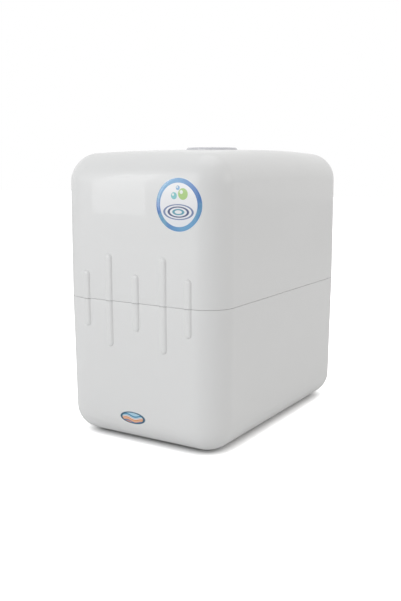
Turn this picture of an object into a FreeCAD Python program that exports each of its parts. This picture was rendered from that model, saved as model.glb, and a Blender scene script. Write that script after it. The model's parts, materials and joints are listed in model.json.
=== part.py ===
import FreeCAD, Part
import math
import os
from FreeCAD import Vector

# A compact reverse-osmosis water purifier in a closed two-part plastic casing.
# The front is at -Y, the long sides at -X and +X, the rear with its tube ports at +Y.
# Lengths are in millimetres and angles in degrees. Z is zero where the feet stand.

# Casing
case_width = 258.0
case_depth = 396.0
case_height = 400.0
case_wall = 3.0
parting_height = 196.5
corner_radius = 40.0
top_radius_step = 2.0
base_radius_step = 5.0
crown_radius = 2900.0
upper_draft = 0.005
lower_draft = 0.009
parting_gap = 0.5
tongue_height = 5.0
tongue_thickness = 1.2
tongue_inset = 0.1
tongue_clearance = 0.15
feet_height = 3.5

# Raised ribs on the front
rib_width = 11.5
rib_height = 2.8
rib_first_spacing = 44.0
rib_second_spacing = 38.5
long_rib_reach = 58.0
short_rib_reach = 33.0

# Badges on the front
badge_thickness = 0.6
badge_gap = 0.05
round_badge_diameter = 69.0
round_badge_from_side = 60.0
round_badge_from_top = 71.0
oval_badge_width = 43.0
oval_badge_height = 17.5
oval_badge_x = -8.0
oval_badge_centre = 36.0

# Service cap in the middle of the top
cap_diameter = 76.0
cap_rise = 3.0
cap_crown = 0.8
cap_edge = 3.0
cap_seat_depth = 1.2
cap_side_clearance = 0.3
cap_skin = 3.0
skirt_length = 12.0
skirt_wall = 2.5
service_hole_diameter = 60.0
skirt_clearance = 0.35
gasket_width = 4.0
gasket_thickness = 1.0
gasket_clearance = 0.1
collar_wall = 3.0
collar_drop = 8.0

# Case screws, their towers below the parting line and bosses above it
tower_inset = 13.0
tower_y = 72.0
tower_radius = 6.5
tower_bore_radius = 4.5
tower_floor = 6.0
boss_radius = 5.0
boss_height = 32.0
web_thickness = 3.0
web_height = 24.0
case_screw_radius = 2.0
case_screw_grip = 22.0
screw_clearance = 0.15
screw_head_ratio = 1.9

# Feet
foot_radius = 9.5
foot_recess = 1.0
foot_clearance = 0.3
foot_inset_x = 51.0
foot_inset_y = 53.0

# Filters and membrane housing
filter_wall = 2.5
filter_edge_radius = 8.0
filter_gap = 11.0
filter_side_gap = 5.5
port_boss_radius = 11.0
port_boss_height = 6.0
core_clearance = 2.0
core_chamfer = 5.0
core_bore_radius = 8.0
space_under_filters = 39.5
membrane_cap_height = 42.0
membrane_cap_wall = 3.6
membrane_neck_height = 30.0
membrane_neck_step = 1.5
membrane_element_gap = 3.5
membrane_core_radius = 8.0
membrane_seat_wall = 2.0
brine_port_inset = 12.5
thread_clearance = 0.1

# Brackets and clips
bracket_sheet = 2.0
bracket_leg_half_width = 50.0
bracket_margin = 26.0
bracket_leg_height = 48.0
bracket_top_drop = 32.0
flange_depth = 26.0
flange_screw_x = 35.0
floor_boss_height = 6.0
floor_boss_radius = 5.0
clip_standoff = 4.0
clip_wall = 2.4
clip_height = 16.0
clip_clearance = 0.15
clip_half_opening = 52.0
clip_base_width = 24.0
low_clip_rise = 46.0
high_clip_drop = 82.0
small_screw_radius = 1.6
small_screw_head = 1.8

# Tubes and push-fit sockets
tube_diameter = 6.35
tube_wall = 1.0
tube_bend = 22.0
socket_radius = 6.6
socket_depth = 14.0
socket_clearance = 0.075
waterway_radius = 2.2
side_waterway_radius = 1.9
collet_radius = 4.8
collet_clearance = 0.1
collet_length = 5.0
collet_flange_radius = 6.2
collet_flange = 1.6
tube_stop_gap = 0.3
feed_run_height = 14.0
feed_run_gap = 40.0

# Elbow fittings
elbow_body_radius = 8.0
elbow_rise = 11.0
elbow_reach = 20.0
stud_radius = 6.4
stud_length = 8.0

# Levels of the tubes below the casing's roof
product_drop = 39.5
level_step = 18.0

# Pressure tank
tank_side_gap = 15.0
tank_bracket_gap = 9.5
tank_floor_gap = 17.5
tank_knuckle = 30.0
tank_crown_step = 39.0
tank_sheet = 1.5
neck_radius = 9.0
neck_length = 14.0
neck_bore = 5.0
neck_below_outlet = 21.0
seam_height = 3.0
seam_step = 1.2
bladder_thickness = 2.0
bladder_curve = 150.0
stand_radius = 84.0
stand_wall = 4.0
stand_clearance = 0.2
stand_rim = 6.0
arch_radius = 16.0
air_valve_angle = -45.0
air_valve_rise = 90.0
air_boss_radius = 7.0
air_boss_length = 5.0
air_stem_radius = 3.9
air_stem_length = 15.0
air_bore_radius = 1.6
air_cap_radius = 5.5
air_cap_clearance = 0.3

# Tank valve
valve_skirt_radius = 14.0
valve_body_radius = 13.0
ball_radius = 8.5
ball_clearance = 0.08
ball_bore = 3.5
ball_side_bore = 3.1
stem_radius = 3.0
stem_clearance = 0.06
bonnet_radius = 11.0
bonnet_flange = 3.0
hub_radius = 7.0
hub_height = 6.5
lever_length = 27.0
lever_width = 9.0
lever_thickness = 4.0
lever_gap = 0.3
valve_outlet_reach = 24.0
valve_arm_radius = 7.0
neck_play = 0.2
bonnet_play = 0.4
stem_drop = 1.5
lever_screw_length = 9.0

# Automatic shut-off valve on its shelf
shutoff_radius = 26.0
shutoff_half_height = 9.0
shutoff_bracket_gap = 20.5
shutoff_tee_gap = 16.0
diaphragm_radius = 20.0
diaphragm_thickness = 1.5
chamber_radius = 17.0
plunger_radius = 3.0
plunger_head_radius = 12.0
plunger_head = 1.2
plunger_clearance = 0.06
plunger_gap = 0.3
plunger_travel = 1.5
cover_screw_ring = 23.0
shelf_screw_grip = 7.0
shelf_half_width = 30.0
shelf_front_margin = 2.0

# Tee, check valve and flow restrictor
tee_reach = 18.0
tee_hub_radius = 7.4
check_valve_radius = 8.0
check_valve_length = 46.0
check_valve_rise = 150.0
check_chamber_radius = 5.0
check_seat = 3.0
poppet_gap = 0.1
poppet_radius = 4.2
poppet_thickness = 2.5
poppet_stem_radius = 1.2
riser_wall_gap = 1.6
riser_x_gap = 11.0
restrictor_radius = 7.0
restrictor_length = 44.0
capillary_radius = 0.6

# Ports through the rear wall
port_height = 126.5
port_spacing = 26.0
port_pad_proud = 1.2
port_pad_inner = 2.0
port_pad_half_width = 46.0
port_pad_half_height = 17.0
port_pad_corner = 6.0
port_shank_radius = 7.0
port_nose_radius = 7.5
port_hole_clearance = 0.15
port_flange_radius = 9.5
port_flange = 5.0
port_nose = 8.0
port_nut_width = 19.0
port_nut_thickness = 5.0
port_inner_reach = 17.0
port_collet_travel = 1.5
port_collet_length = 9.0
o_ring_section = 1.5
riser_setback = 26.0
feed_riser_step = 12.0

# How far a cutting tool runs past the face it cuts
cut_margin = 1.0

# Values worked out from the sizes above
Z = Vector(0, 0, 1)
base_z = feet_height
parting_z = base_z + parting_height
top_z = base_z + case_height
floor_z = base_z + case_wall
roof_z = top_z - case_wall
inner_half_depth = case_depth / 2 - case_wall
inner_half_width = case_width / 2 - case_wall
top_radius = corner_radius - top_radius_step
base_radius = corner_radius - base_radius_step

product_z = roof_z - product_drop
feed_z = product_z - level_step
filter_top = feed_z - elbow_rise
filter_bottom = floor_z + space_under_filters
low_feed_z = filter_bottom - elbow_rise
riser_x = check_valve_radius + riser_wall_gap - inner_half_width
filter_row_end = collet_clearance - riser_x_gap - riser_x
filter_radius = (filter_row_end - filter_gap) / 3
filter_pitch = 2 * filter_radius + filter_gap
row_y = inner_half_depth - filter_side_gap - filter_radius
bracket_y = row_y - filter_radius - clip_standoff - bracket_sheet
shutoff_y = bracket_y - shutoff_bracket_gap
shutoff_reach = filter_pitch - tee_reach - shutoff_tee_gap
tank_radius = min(inner_half_width - tank_side_gap, bracket_y - tank_bracket_gap)
tank_crown = tank_radius + tank_crown_step
dome_centre_drop = math.sqrt((tank_crown - tank_knuckle) ** 2 - (tank_radius - tank_knuckle) ** 2)
dome_height = tank_crown - dome_centre_drop
neck_top = product_z - neck_below_outlet
tank_top = neck_top - neck_length
tank_bottom = floor_z + tank_floor_gap
tank_middle = (tank_top + tank_bottom) / 2
tower_x = inner_half_width - tower_inset
flange_y = bracket_y - flange_depth / 2
flange_z = floor_z + floor_boss_height
cap_seat_z = top_z - cap_seat_depth
low_clip_z = filter_bottom + low_clip_rise
high_clip_z = filter_top - high_clip_drop
shutoff_split = feed_z + shutoff_half_height
chamber_depth = diaphragm_thickness + plunger_travel + plunger_head + 2 * plunger_gap
shelf_top = feed_z - shutoff_half_height
membrane_x = -filter_pitch
membrane_element_radius = filter_radius - filter_wall - membrane_neck_step - membrane_element_gap
brine_port_offset = filter_radius - brine_port_inset
post_filter_x = filter_pitch
port_z = base_z + port_height
pad_face_y = case_depth / 2 + port_pad_proud
pad_inner_y = inner_half_depth - port_pad_inner
port_mouth_y = pad_face_y + port_flange + port_nose
port_inner_y = pad_inner_y - port_inner_reach
riser_y = port_inner_y - riser_setback
rear_reach = port_mouth_y + port_collet_travel + collet_flange
front_reach = case_depth / 2 + rib_height
centring_shift = (front_reach - rear_reach) / 2
small_hole = small_screw_radius + screw_clearance
head_room_radius = small_screw_radius * screw_head_ratio + screw_clearance
case_hole = case_screw_radius + screw_clearance
tube_bore = tube_diameter / 2 + socket_clearance
stud_hole = stud_radius + thread_clearance
hub_low = product_z + ball_radius + bonnet_flange * 3 + lever_gap
hub_high = hub_low + hub_height


def export(shape, name):
    """Write one sub-part, moved so that the whole part is centred over the origin."""
    placed = shape.copy()
    placed.translate(Vector(0, centring_shift, 0))
    placed.exportStep("parts/" + name + ".step")


def rod(radius, start, end):
    """A round bar between two points."""
    run = end - start
    return Part.makeCylinder(radius, run.Length, start, run)


def ring(outer, inner, start, end):
    """A plain tube between two points."""
    run = end - start
    margin = run.normalize() * 0.5
    return rod(outer, start, end).cut(rod(inner, start - margin, end + margin))


def block(x0, x1, y0, y1, z0, z1):
    """A box between two opposite corners."""
    return Part.makeBox(x1 - x0, y1 - y0, z1 - z0, Vector(x0, y0, z0))


def hexagon(width, start, end):
    """A hexagonal bar, measured across its flats, between two points."""
    corner = width / math.sqrt(3)
    run = end - start
    side = Vector(1, 0, 0) if abs(run.x) < 0.5 * run.Length else Vector(0, 1, 0)
    other = run.cross(side).normalize()
    points = []
    for step in range(7):
        angle = math.radians(60 * step)
        points.append(start + side * (corner * math.cos(angle)) + other * (corner * math.sin(angle)))
    return Part.Face(Part.makePolygon(points)).extrude(run)


def turned(outline, x=0.0, y=0.0):
    """Revolve a closed outline of (radius, height) points and arcs about a vertical axis."""
    edges = []
    for piece in outline:
        points = [Vector(r, 0, z) for r, z in piece]
        if len(points) == 2:
            edges.append(Part.LineSegment(points[0], points[1]).toShape())
        else:
            edges.append(Part.Arc(points[0], points[1], points[2]).toShape())
    face = Part.Face(Part.Wire(edges))
    solid = face.revolve(Vector(0, 0, 0), Z, 360)
    solid.translate(Vector(x, y, 0))
    return solid


def joined(shapes):
    """Fuse shapes into one solid with no leftover seams."""
    first = shapes[0]
    return first.multiFuse(shapes[1:]).removeSplitter()


def screw(radius, head_height, start, end):
    """A pan-head screw whose head sits before the start point and whose shank ends at the end point."""
    along = (end - start).normalize()
    head = rod(radius * screw_head_ratio, start - along * head_height, start)
    return joined([head, rod(radius, start, end)])


def half_form(inset, upper):
    """The solid form of one casing half, with its surface moved inwards by the inset."""
    half_width = case_width / 2 - inset
    half_depth = case_depth / 2 - inset
    if upper:
        far_z = top_z + case_wall
        narrowing = upper_draft * (far_z - parting_z)
    else:
        far_z = base_z + inset
        narrowing = lower_draft * (parting_z - far_z)
    outlines = []
    for z, less in ((parting_z, 0.0), (far_z, narrowing)):
        a = half_width - less
        b = half_depth - less
        corners = [(-a, -b), (a, -b), (a, b), (-a, b), (-a, -b)]
        outlines.append(Part.makePolygon([Vector(x, y, z) for x, y in corners]))
    form = Part.makeLoft(outlines, True, True)
    edge_radius = base_radius - inset
    if upper:
        crown = Part.makeSphere(crown_radius - inset, Vector(0, 0, top_z - crown_radius))
        form = form.common(crown)
        edge_radius = top_radius - inset
    corners = [edge for edge in form.Edges if edge.BoundBox.ZLength > case_wall * 10
               and edge.BoundBox.XLength < case_wall and edge.BoundBox.YLength < case_wall]
    form = form.makeFillet(corner_radius - inset, corners)
    rim = []
    for edge in form.Edges:
        box = edge.BoundBox
        away = box.ZMin > parting_z + case_wall if upper else box.ZMax < parting_z - case_wall
        if away and box.ZLength < corner_radius:
            rim.append(edge)
    return form.makeFillet(edge_radius, rim)


def rounded_prism(inset, z0, z1):
    """An upright prism with the casing's plan outline at the parting line."""
    a = case_width / 2 - inset
    b = case_depth / 2 - inset
    solid = block(-a, a, -b, b, z0, z1)
    upright = [edge for edge in solid.Edges if edge.BoundBox.ZLength > (z1 - z0) / 2]
    return solid.makeFillet(corner_radius - inset, upright)


def front_rib(x, reach, upper):
    """Half of a raised front rib, from the parting line to its rounded end."""
    radius = (rib_width ** 2 / 4 + rib_height ** 2) / (2 * rib_height)
    draft = upper_draft if upper else lower_draft
    way = 1 if upper else -1
    start = Vector(x, -case_depth / 2 - rib_height + radius, parting_z + way * parting_gap / 2)
    end = start + Vector(0, draft * reach, way * reach)
    return rod(radius, start, end).fuse(Part.makeSphere(radius, end))


def front_ribs(upper):
    """The five ribs of one casing half: short, long, short, long, short."""
    outer = rib_first_spacing + rib_second_spacing
    ribs = []
    for x, reach in ((-outer, short_rib_reach), (-rib_first_spacing, long_rib_reach), (0, short_rib_reach),
                     (rib_first_spacing, long_rib_reach), (outer, short_rib_reach)):
        ribs.append(front_rib(x, reach, upper))
    return ribs


def tower_places():
    """The four places of the case screws."""
    return [Vector(x, y, 0) for x in (-tower_x, tower_x) for y in (-tower_y, tower_y)]


def foot_places():
    """The four places of the feet."""
    x = case_width / 2 - foot_inset_x
    y = case_depth / 2 - foot_inset_y
    return [Vector(i * x, j * y, 0) for i in (-1, 1) for j in (-1, 1)]


def flange_screw_places():
    """The places of the screws that hold the two brackets to the floor."""
    return [Vector(i * flange_screw_x, j * flange_y, 0) for i in (-1, 1) for j in (-1, 1)]


def port_places():
    """The x positions of the feed, drain and pure water ports."""
    return {"feed": -port_spacing, "drain": 0.0, "pure": port_spacing}


def side_web(place, z0, z1):
    """An upright web from a screw tower or boss to the side wall."""
    x0, x1 = sorted((place.x, place.x + math.copysign(tower_inset + case_wall, place.x)))
    return block(x0, x1, place.y - web_thickness / 2, place.y + web_thickness / 2, z0, z1)


def lower_casing():
    """Lower casing half: floor, tongue, screw towers, floor bosses and the port pad."""
    edge_z = parting_z - parting_gap / 2
    outer = joined([half_form(0, False)] + front_ribs(False))
    trimmed = outer.cut(rounded_prism(-2 * rib_height, edge_z, parting_z + case_wall))
    pad = block(-port_pad_half_width, port_pad_half_width, pad_inner_y, pad_face_y,
                port_z - port_pad_half_height, port_z + port_pad_half_height)
    pad_edges = [edge for edge in pad.Edges if edge.BoundBox.YLength > case_wall]
    pad = pad.makeFillet(port_pad_corner, pad_edges)
    shell = trimmed.cut(half_form(case_wall, False))
    core = half_form(case_wall / 2, False)
    supports = []
    for place in tower_places():
        supports.append(rod(tower_radius, place, place + Z * parting_z).common(core))
        web_top = parting_z - tower_floor
        supports.append(side_web(place, web_top - web_height, web_top).common(core))
    for place in flange_screw_places():
        supports.append(rod(floor_boss_radius, place + Z * (floor_z - 1), place + Z * flange_z))
    tongue_outer = case_wall - tongue_inset - tongue_thickness
    tongue = rounded_prism(tongue_outer, edge_z - case_wall / 2, parting_z + tongue_height)
    tongue = tongue.cut(rounded_prism(case_wall - tongue_inset, edge_z - case_wall,
                                      parting_z + 2 * tongue_height))
    shell = joined([shell, tongue, pad] + supports)
    for place in tower_places():
        shell = shell.cut(rod(tower_bore_radius, place - Z, place + Z * (parting_z - tower_floor)))
        shell = shell.cut(rod(case_hole, place, place + Z * (parting_z + 1)))
    for place in flange_screw_places():
        shell = shell.cut(rod(small_hole, place + Z * floor_z, place + Z * (flange_z + 1)))
    for place in foot_places():
        shell = shell.cut(rod(foot_radius + foot_clearance, place, place + Z * (base_z + foot_recess)))
    for x in port_places().values():
        hole = port_shank_radius + port_hole_clearance
        shell = shell.cut(rod(hole, Vector(x, pad_inner_y - 1, port_z), Vector(x, pad_face_y + 1, port_z)))
    return shell


def upper_casing():
    """Upper casing half: roof with the service hole, rebate and screw bosses."""
    edge_z = parting_z + parting_gap / 2
    outer = joined([half_form(0, True)] + front_ribs(True))
    trimmed = outer.cut(rounded_prism(-2 * rib_height, parting_z - case_wall * 3, edge_z))
    shell = trimmed.cut(half_form(case_wall, True))
    core = half_form(case_wall / 2, True)
    hole_radius = service_hole_diameter / 2
    seat_radius = cap_diameter / 2 + cap_side_clearance
    collar = rod(seat_radius + collar_wall, Z * (roof_z - collar_wall), Z * (roof_z + 1))
    sleeve = rod(hole_radius + collar_wall, Z * (roof_z - collar_drop), Z * (roof_z + 1))
    supports = [collar, sleeve]
    for place in tower_places():
        supports.append(rod(boss_radius, place + Z * parting_z, place + Z * (parting_z + boss_height)))
        web = side_web(place, parting_z + boss_height - web_height, parting_z + boss_height)
        supports.append(web.common(core))
    shell = joined([shell] + supports)
    rebate_outer = case_wall - tongue_inset - tongue_thickness - tongue_clearance
    rebate = rounded_prism(rebate_outer, parting_z - case_wall, parting_z + tongue_height + tongue_clearance)
    bosses = [rod(boss_radius, place + Z * parting_z, place + Z * (parting_z + boss_height))
              for place in tower_places()]
    shell = joined([shell.cut(rebate)] + bosses)
    shell = shell.cut(rod(seat_radius, Z * cap_seat_z, Z * (top_z + case_wall)))
    shell = shell.cut(rod(hole_radius, Z * (roof_z - 2 * collar_drop), Z * (top_z + case_wall)))
    for place in tower_places():
        bore = rod(case_hole, place + Z * (parting_z - 1),
                   place + Z * (parting_z + case_screw_grip + 2))
        shell = shell.cut(bore)
    return shell


def badge(outline_face):
    """A thin badge: the outline carried along Y onto the front surface and its round corner."""
    prism = outline_face.extrude(Vector(0, corner_radius + case_wall, 0))
    upper = outline_face.BoundBox.ZMin > parting_z
    skin = half_form(-badge_gap - badge_thickness, upper).cut(half_form(-badge_gap, upper))
    return prism.common(skin)


def round_badge():
    """Round badge high on the front, at its right-hand corner."""
    badge_x = case_width / 2 - round_badge_from_side
    badge_z = base_z + case_height - round_badge_from_top
    centre = Vector(badge_x, -case_depth / 2 - case_wall, badge_z)
    circle = Part.Circle(centre, Vector(0, 1, 0), round_badge_diameter / 2)
    return badge(Part.Face(Part.Wire([circle.toShape()])))


def oval_badge():
    """Small oval badge low on the front."""
    centre = Vector(oval_badge_x, -case_depth / 2 - case_wall, base_z + oval_badge_centre)
    right = centre + Vector(oval_badge_width / 2, 0, 0)
    top = centre + Vector(0, 0, oval_badge_height / 2)
    ellipse = Part.Ellipse(right, top, centre)
    return badge(Part.Face(Part.Wire([ellipse.toShape()])))


def gasket_radii():
    """Outer and inner radius of the gasket, centred on the seat around the service hole."""
    middle = (cap_diameter + service_hole_diameter) / 4
    return middle + gasket_width / 2, middle - gasket_width / 2


def service_cap():
    """Round lift-off cap with a crowned top, a plug skirt and a gasket groove."""
    outer = cap_diameter / 2
    rim_z = cap_seat_z + cap_seat_depth + cap_rise
    shoulder = outer - cap_edge
    side_z = rim_z - cap_edge
    crown_z = rim_z + cap_crown
    bend = cap_edge * (1 - math.sqrt(0.5))
    half = shoulder / 2
    dome_radius = (shoulder ** 2 + cap_crown ** 2) / (2 * cap_crown)
    crown_mid = crown_z - dome_radius + math.sqrt(dome_radius ** 2 - half ** 2)
    top = turned([[(0, cap_seat_z), (outer, cap_seat_z)],
                  [(outer, cap_seat_z), (outer, side_z)],
                  [(outer, side_z), (outer - bend, rim_z - bend), (shoulder, rim_z)],
                  [(shoulder, rim_z), (half, crown_mid), (0, crown_z)],
                  [(0, crown_z), (0, cap_seat_z)]])
    skirt_radius = service_hole_diameter / 2 - skirt_clearance
    skirt = rod(skirt_radius, Z * (cap_seat_z - skirt_length), Z * (cap_seat_z + 1))
    hollow = rod(skirt_radius - skirt_wall, Z * (cap_seat_z - skirt_length - 1), Z * (rim_z - cap_skin))
    outer_ring, inner_ring = gasket_radii()
    groove = ring(outer_ring + gasket_clearance, inner_ring - gasket_clearance, Z * (cap_seat_z - cut_margin),
                  Z * (cap_seat_z + gasket_thickness))
    return joined([top, skirt]).cut(hollow).cut(groove)


def cap_gasket():
    """Flat gasket in the cap's groove."""
    outer_ring, inner_ring = gasket_radii()
    return ring(outer_ring, inner_ring, Z * cap_seat_z, Z * (cap_seat_z + gasket_thickness))


def feet():
    """Four rubber feet seated in the recesses under the casing."""
    solids = []
    for place in foot_places():
        foot = rod(foot_radius, place, place + Z * (base_z + foot_recess))
        lower = [edge for edge in foot.Edges if edge.BoundBox.ZMax < base_z / 2]
        solids.append(foot.makeChamfer(foot_recess, lower))
    return Part.makeCompound(solids)


def case_screws():
    """Four screws, driven from below, that join the casing halves."""
    solids = []
    for place in tower_places():
        start = place + Z * (parting_z - tower_floor)
        tip = place + Z * (parting_z + case_screw_grip)
        solids.append(screw(case_screw_radius, case_screw_radius, start, tip))
    return Part.makeCompound(solids)


def socket_void(mouth, out):
    """What a push-fit socket takes out of a fitting: tube bore and collet seat."""
    bore = rod(tube_bore, mouth - out * socket_depth, mouth + out)
    seat_end = mouth - out * (collet_length + collet_clearance)
    seat = rod(collet_radius + collet_clearance, seat_end, mouth + out)
    return bore.fuse(seat)


def collet(mouth, out, length=collet_length, gap=tube_stop_gap):
    """A release collet: a sleeve in the socket and a flange outside its mouth."""
    sleeve = rod(collet_radius, mouth - out * (length - gap), mouth + out * (gap + collet_flange))
    flange = rod(collet_flange_radius, mouth + out * gap, mouth + out * (gap + collet_flange))
    bore = rod(tube_bore, mouth - out * length, mouth + out * (length + gap))
    return joined([sleeve, flange]).cut(bore)


def tube_path(points):
    """Straight runs joined by tangent arcs, each as wide as the bend allows and its runs have room for."""
    edges = []
    start = points[0]
    for before, corner, after in zip(points, points[1:], points[2:]):
        back = before - corner
        ahead = after - corner
        half_turn = (math.pi - back.getAngle(ahead)) / 2
        room = 0.45 * min(back.Length, ahead.Length)
        setback = min(tube_bend * math.tan(half_turn), room)
        radius = setback / math.tan(half_turn)
        entry = corner + back.normalize() * setback
        leave = corner + ahead.normalize() * setback
        inward = (back + ahead).normalize()
        middle = corner + inward * (radius / math.cos(half_turn) - radius)
        edges.append(Part.LineSegment(start, entry).toShape())
        edges.append(Part.Arc(entry, middle, leave).toShape())
        start = leave
    edges.append(Part.LineSegment(start, points[-1]).toShape())
    return Part.Wire(edges)


def tube(name, points):
    """A water tube along a route, with its bore, and a printed check of its volume."""
    path = tube_path(points)
    along = (points[1] - points[0]).normalize()
    outer = tube_diameter / 2
    inner = outer - tube_wall
    outside = Part.Wire([Part.Circle(points[0], along, outer).toShape()])
    inside = Part.Wire([Part.Circle(points[0], along, inner).toShape()])
    full = path.makePipeShell([outside], True, False)
    bore = path.makePipeShell([inside], True, False)
    solid = full.cut(bore)
    expected = math.pi * (outer ** 2 - inner ** 2) * path.Length
    print(name, "length", round(path.Length, 1), "volume ratio", round(solid.Volume / expected, 5))
    return solid


def tube_end(mouth, out):
    """Where a tube stops inside a socket."""
    return mouth - out * (socket_depth - tube_stop_gap)


class Elbow:
    """A right-angle fitting on the end of a canister, with its push-fit mouth in a chosen direction."""

    def __init__(self, x, y, seat_z, up, aim):
        self.seat = Vector(x, y, seat_z)
        self.up = Z * up
        self.centre = self.seat + self.up * elbow_rise
        towards = Vector(aim[0] - x, aim[1] - y, 0)
        self.out = towards.normalize()
        self.mouth = self.centre + self.out * elbow_reach

    def solid(self):
        body = rod(elbow_body_radius, self.seat, self.centre + self.up * elbow_body_radius)
        arm = rod(socket_radius, self.centre, self.mouth)
        stud = rod(stud_radius, self.seat - self.up * stud_length, self.seat + self.up)
        solid = joined([body, arm, stud])
        low = self.seat - self.up * (stud_length + cut_margin)
        solid = solid.cut(rod(waterway_radius, low, self.centre + self.up * waterway_radius))
        solid = solid.cut(rod(side_waterway_radius, self.centre, self.mouth))
        return solid.cut(socket_void(self.mouth, self.out))

    def end(self):
        return tube_end(self.mouth, self.out)


# Fittings and their mouths. The letters of a filter row run from the left-hand side.
left_x = -filter_pitch
right_x = filter_pitch
post_top = filter_top + level_step
post_bottom = filter_bottom + level_step
brine_x = membrane_x + brine_port_offset
elbows = {
    "sediment_in": Elbow(left_x, -row_y, filter_bottom, -1, (left_x, 0)),
    "sediment_out": Elbow(left_x, -row_y, filter_top, 1, (0, -row_y)),
    "granular_in": Elbow(0, -row_y, filter_top, 1, (left_x, -row_y)),
    "granular_out": Elbow(0, -row_y, filter_bottom, -1, (right_x, -row_y)),
    "block_in": Elbow(right_x, -row_y, filter_bottom, -1, (0, -row_y)),
    "block_out": Elbow(right_x, -row_y, filter_top, 1, (right_x, 0)),
    "membrane_in": Elbow(membrane_x, row_y, filter_top, 1, (membrane_x, 0)),
    "permeate_out": Elbow(membrane_x, row_y, filter_bottom, -1, (riser_x, row_y)),
    "brine_out": Elbow(brine_x, row_y, filter_bottom, -1, (0, riser_y)),
    "post_in": Elbow(post_filter_x, row_y, post_top, 1, (post_filter_x, 0)),
    "post_out": Elbow(post_filter_x, row_y, post_bottom, -1, (port_spacing, riser_y)),
}
shutoff_left = Vector(-shutoff_reach, shutoff_y, feed_z)
shutoff_right = Vector(shutoff_reach, shutoff_y, feed_z)
cover_left = Vector(-shutoff_reach, shutoff_y, product_z)
cover_right = Vector(shutoff_reach, shutoff_y, product_z)
tee_centre = Vector(post_filter_x, shutoff_y, product_z)
tee_left = tee_centre - Vector(tee_reach, 0, 0)
tee_front = tee_centre - Vector(0, tee_reach, 0)
tee_rear = tee_centre + Vector(0, tee_reach, 0)
valve_mouth = Vector(valve_outlet_reach, 0, product_z)
check_low = Vector(riser_x, row_y, check_valve_rise)
check_high = check_low + Z * check_valve_length
restrictor_z = (port_z + low_feed_z - restrictor_length) / 2
restrictor_low = Vector(0, riser_y, restrictor_z)
restrictor_high = restrictor_low + Z * restrictor_length
left = Vector(-1, 0, 0)
right = Vector(1, 0, 0)
front = Vector(0, -1, 0)
rear = Vector(0, 1, 0)
port_inner_mouths = {name: Vector(x, port_inner_y, port_z) for name, x in port_places().items()}
port_outer_mouths = {name: Vector(x, port_mouth_y, port_z) for name, x in port_places().items()}


def filter_elbows():
    """Every elbow on the canisters and the membrane housing."""
    return Part.makeCompound([elbow.solid() for elbow in elbows.values()])


def fitting_collets():
    """The collets of every socket inside the casing."""
    sockets = [(elbow.mouth, elbow.out) for elbow in elbows.values()]
    sockets += [(shutoff_left, left), (shutoff_right, right), (cover_left, left), (cover_right, right)]
    sockets += [(tee_left, left), (tee_front, front), (tee_rear, rear), (valve_mouth, right)]
    sockets += [(check_low, -Z), (check_high, Z), (restrictor_low, -Z), (restrictor_high, Z)]
    sockets += [(mouth, front) for mouth in port_inner_mouths.values()]
    return Part.makeCompound([collet(mouth, out) for mouth, out in sockets])


def canister(x, y, low, high):
    """A sealed filter housing with a threaded port boss at each end."""
    body = rod(filter_radius, Vector(x, y, low + port_boss_height), Vector(x, y, high - port_boss_height))
    rims = [edge for edge in body.Edges if edge.BoundBox.ZLength < 1]
    body = body.makeFillet(filter_edge_radius, rims)
    inner_low = low + port_boss_height + filter_wall
    inner_high = high - port_boss_height - filter_wall
    hollow = rod(filter_radius - filter_wall, Vector(x, y, inner_low), Vector(x, y, inner_high))
    inner_rims = [edge for edge in hollow.Edges if edge.BoundBox.ZLength < 1]
    hollow = hollow.makeFillet(filter_edge_radius - filter_wall, inner_rims)
    boss = rod(port_boss_radius, Vector(x, y, low), Vector(x, y, high))
    ports = rod(stud_hole, Vector(x, y, low - 1), Vector(x, y, high + 1))
    return joined([body, boss]).cut(hollow).cut(ports)


def core_solid(x, y, low, high, bore):
    """A filter core that stands on the floor of its canister."""
    bottom = low + port_boss_height + filter_wall
    top = high - port_boss_height - filter_wall - core_clearance / 4
    core = rod(filter_radius - filter_wall - core_clearance, Vector(x, y, bottom), Vector(x, y, top))
    rims = [edge for edge in core.Edges if edge.BoundBox.ZLength < 1]
    core = core.makeChamfer(core_chamfer, rims)
    if bore > 0:
        core = core.cut(rod(bore, Vector(x, y, bottom - 1), Vector(x, y, top + 1)))
    return core


def membrane_housing():
    """Membrane housing: a cup with a threaded neck, a permeate seat and two outlets below."""
    x, y = membrane_x, row_y
    shoulder = filter_top - port_boss_height - membrane_cap_height
    body = rod(filter_radius, Vector(x, y, filter_bottom + port_boss_height), Vector(x, y, shoulder))
    rims = [edge for edge in body.Edges if edge.BoundBox.ZMax < filter_bottom + 2 * port_boss_height
            and edge.BoundBox.ZLength < 1]
    body = body.makeFillet(filter_edge_radius, rims)
    neck = rod(filter_radius - membrane_neck_step, Vector(x, y, shoulder - 1),
               Vector(x, y, shoulder + membrane_neck_height))
    inside = filter_bottom + port_boss_height + filter_wall
    hollow = rod(filter_radius - filter_wall - membrane_neck_step, Vector(x, y, inside),
                 Vector(x, y, filter_top))
    inner_rims = [edge for edge in hollow.Edges if edge.BoundBox.ZMax < inside + 1]
    hollow = hollow.makeFillet(filter_edge_radius - filter_wall, inner_rims)
    outlets = []
    for outlet_x in (membrane_x, brine_x):
        outlets.append(rod(port_boss_radius - 1, Vector(outlet_x, y, filter_bottom),
                           Vector(outlet_x, y, inside)))
    seat_top = inside + stud_length
    seat = rod(membrane_core_radius + membrane_seat_wall, Vector(x, y, inside - 1), Vector(x, y, seat_top))
    housing = joined([body, neck] + outlets).cut(hollow)
    housing = joined([housing, seat])
    socket = rod(membrane_core_radius + thread_clearance, Vector(x, y, inside),
                 Vector(x, y, seat_top + cut_margin))
    housing = housing.cut(socket)
    for outlet_x in (membrane_x, brine_x):
        port = rod(stud_hole, Vector(outlet_x, y, filter_bottom - 1), Vector(outlet_x, y, inside + 1))
        housing = housing.cut(port)
    return housing


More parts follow.
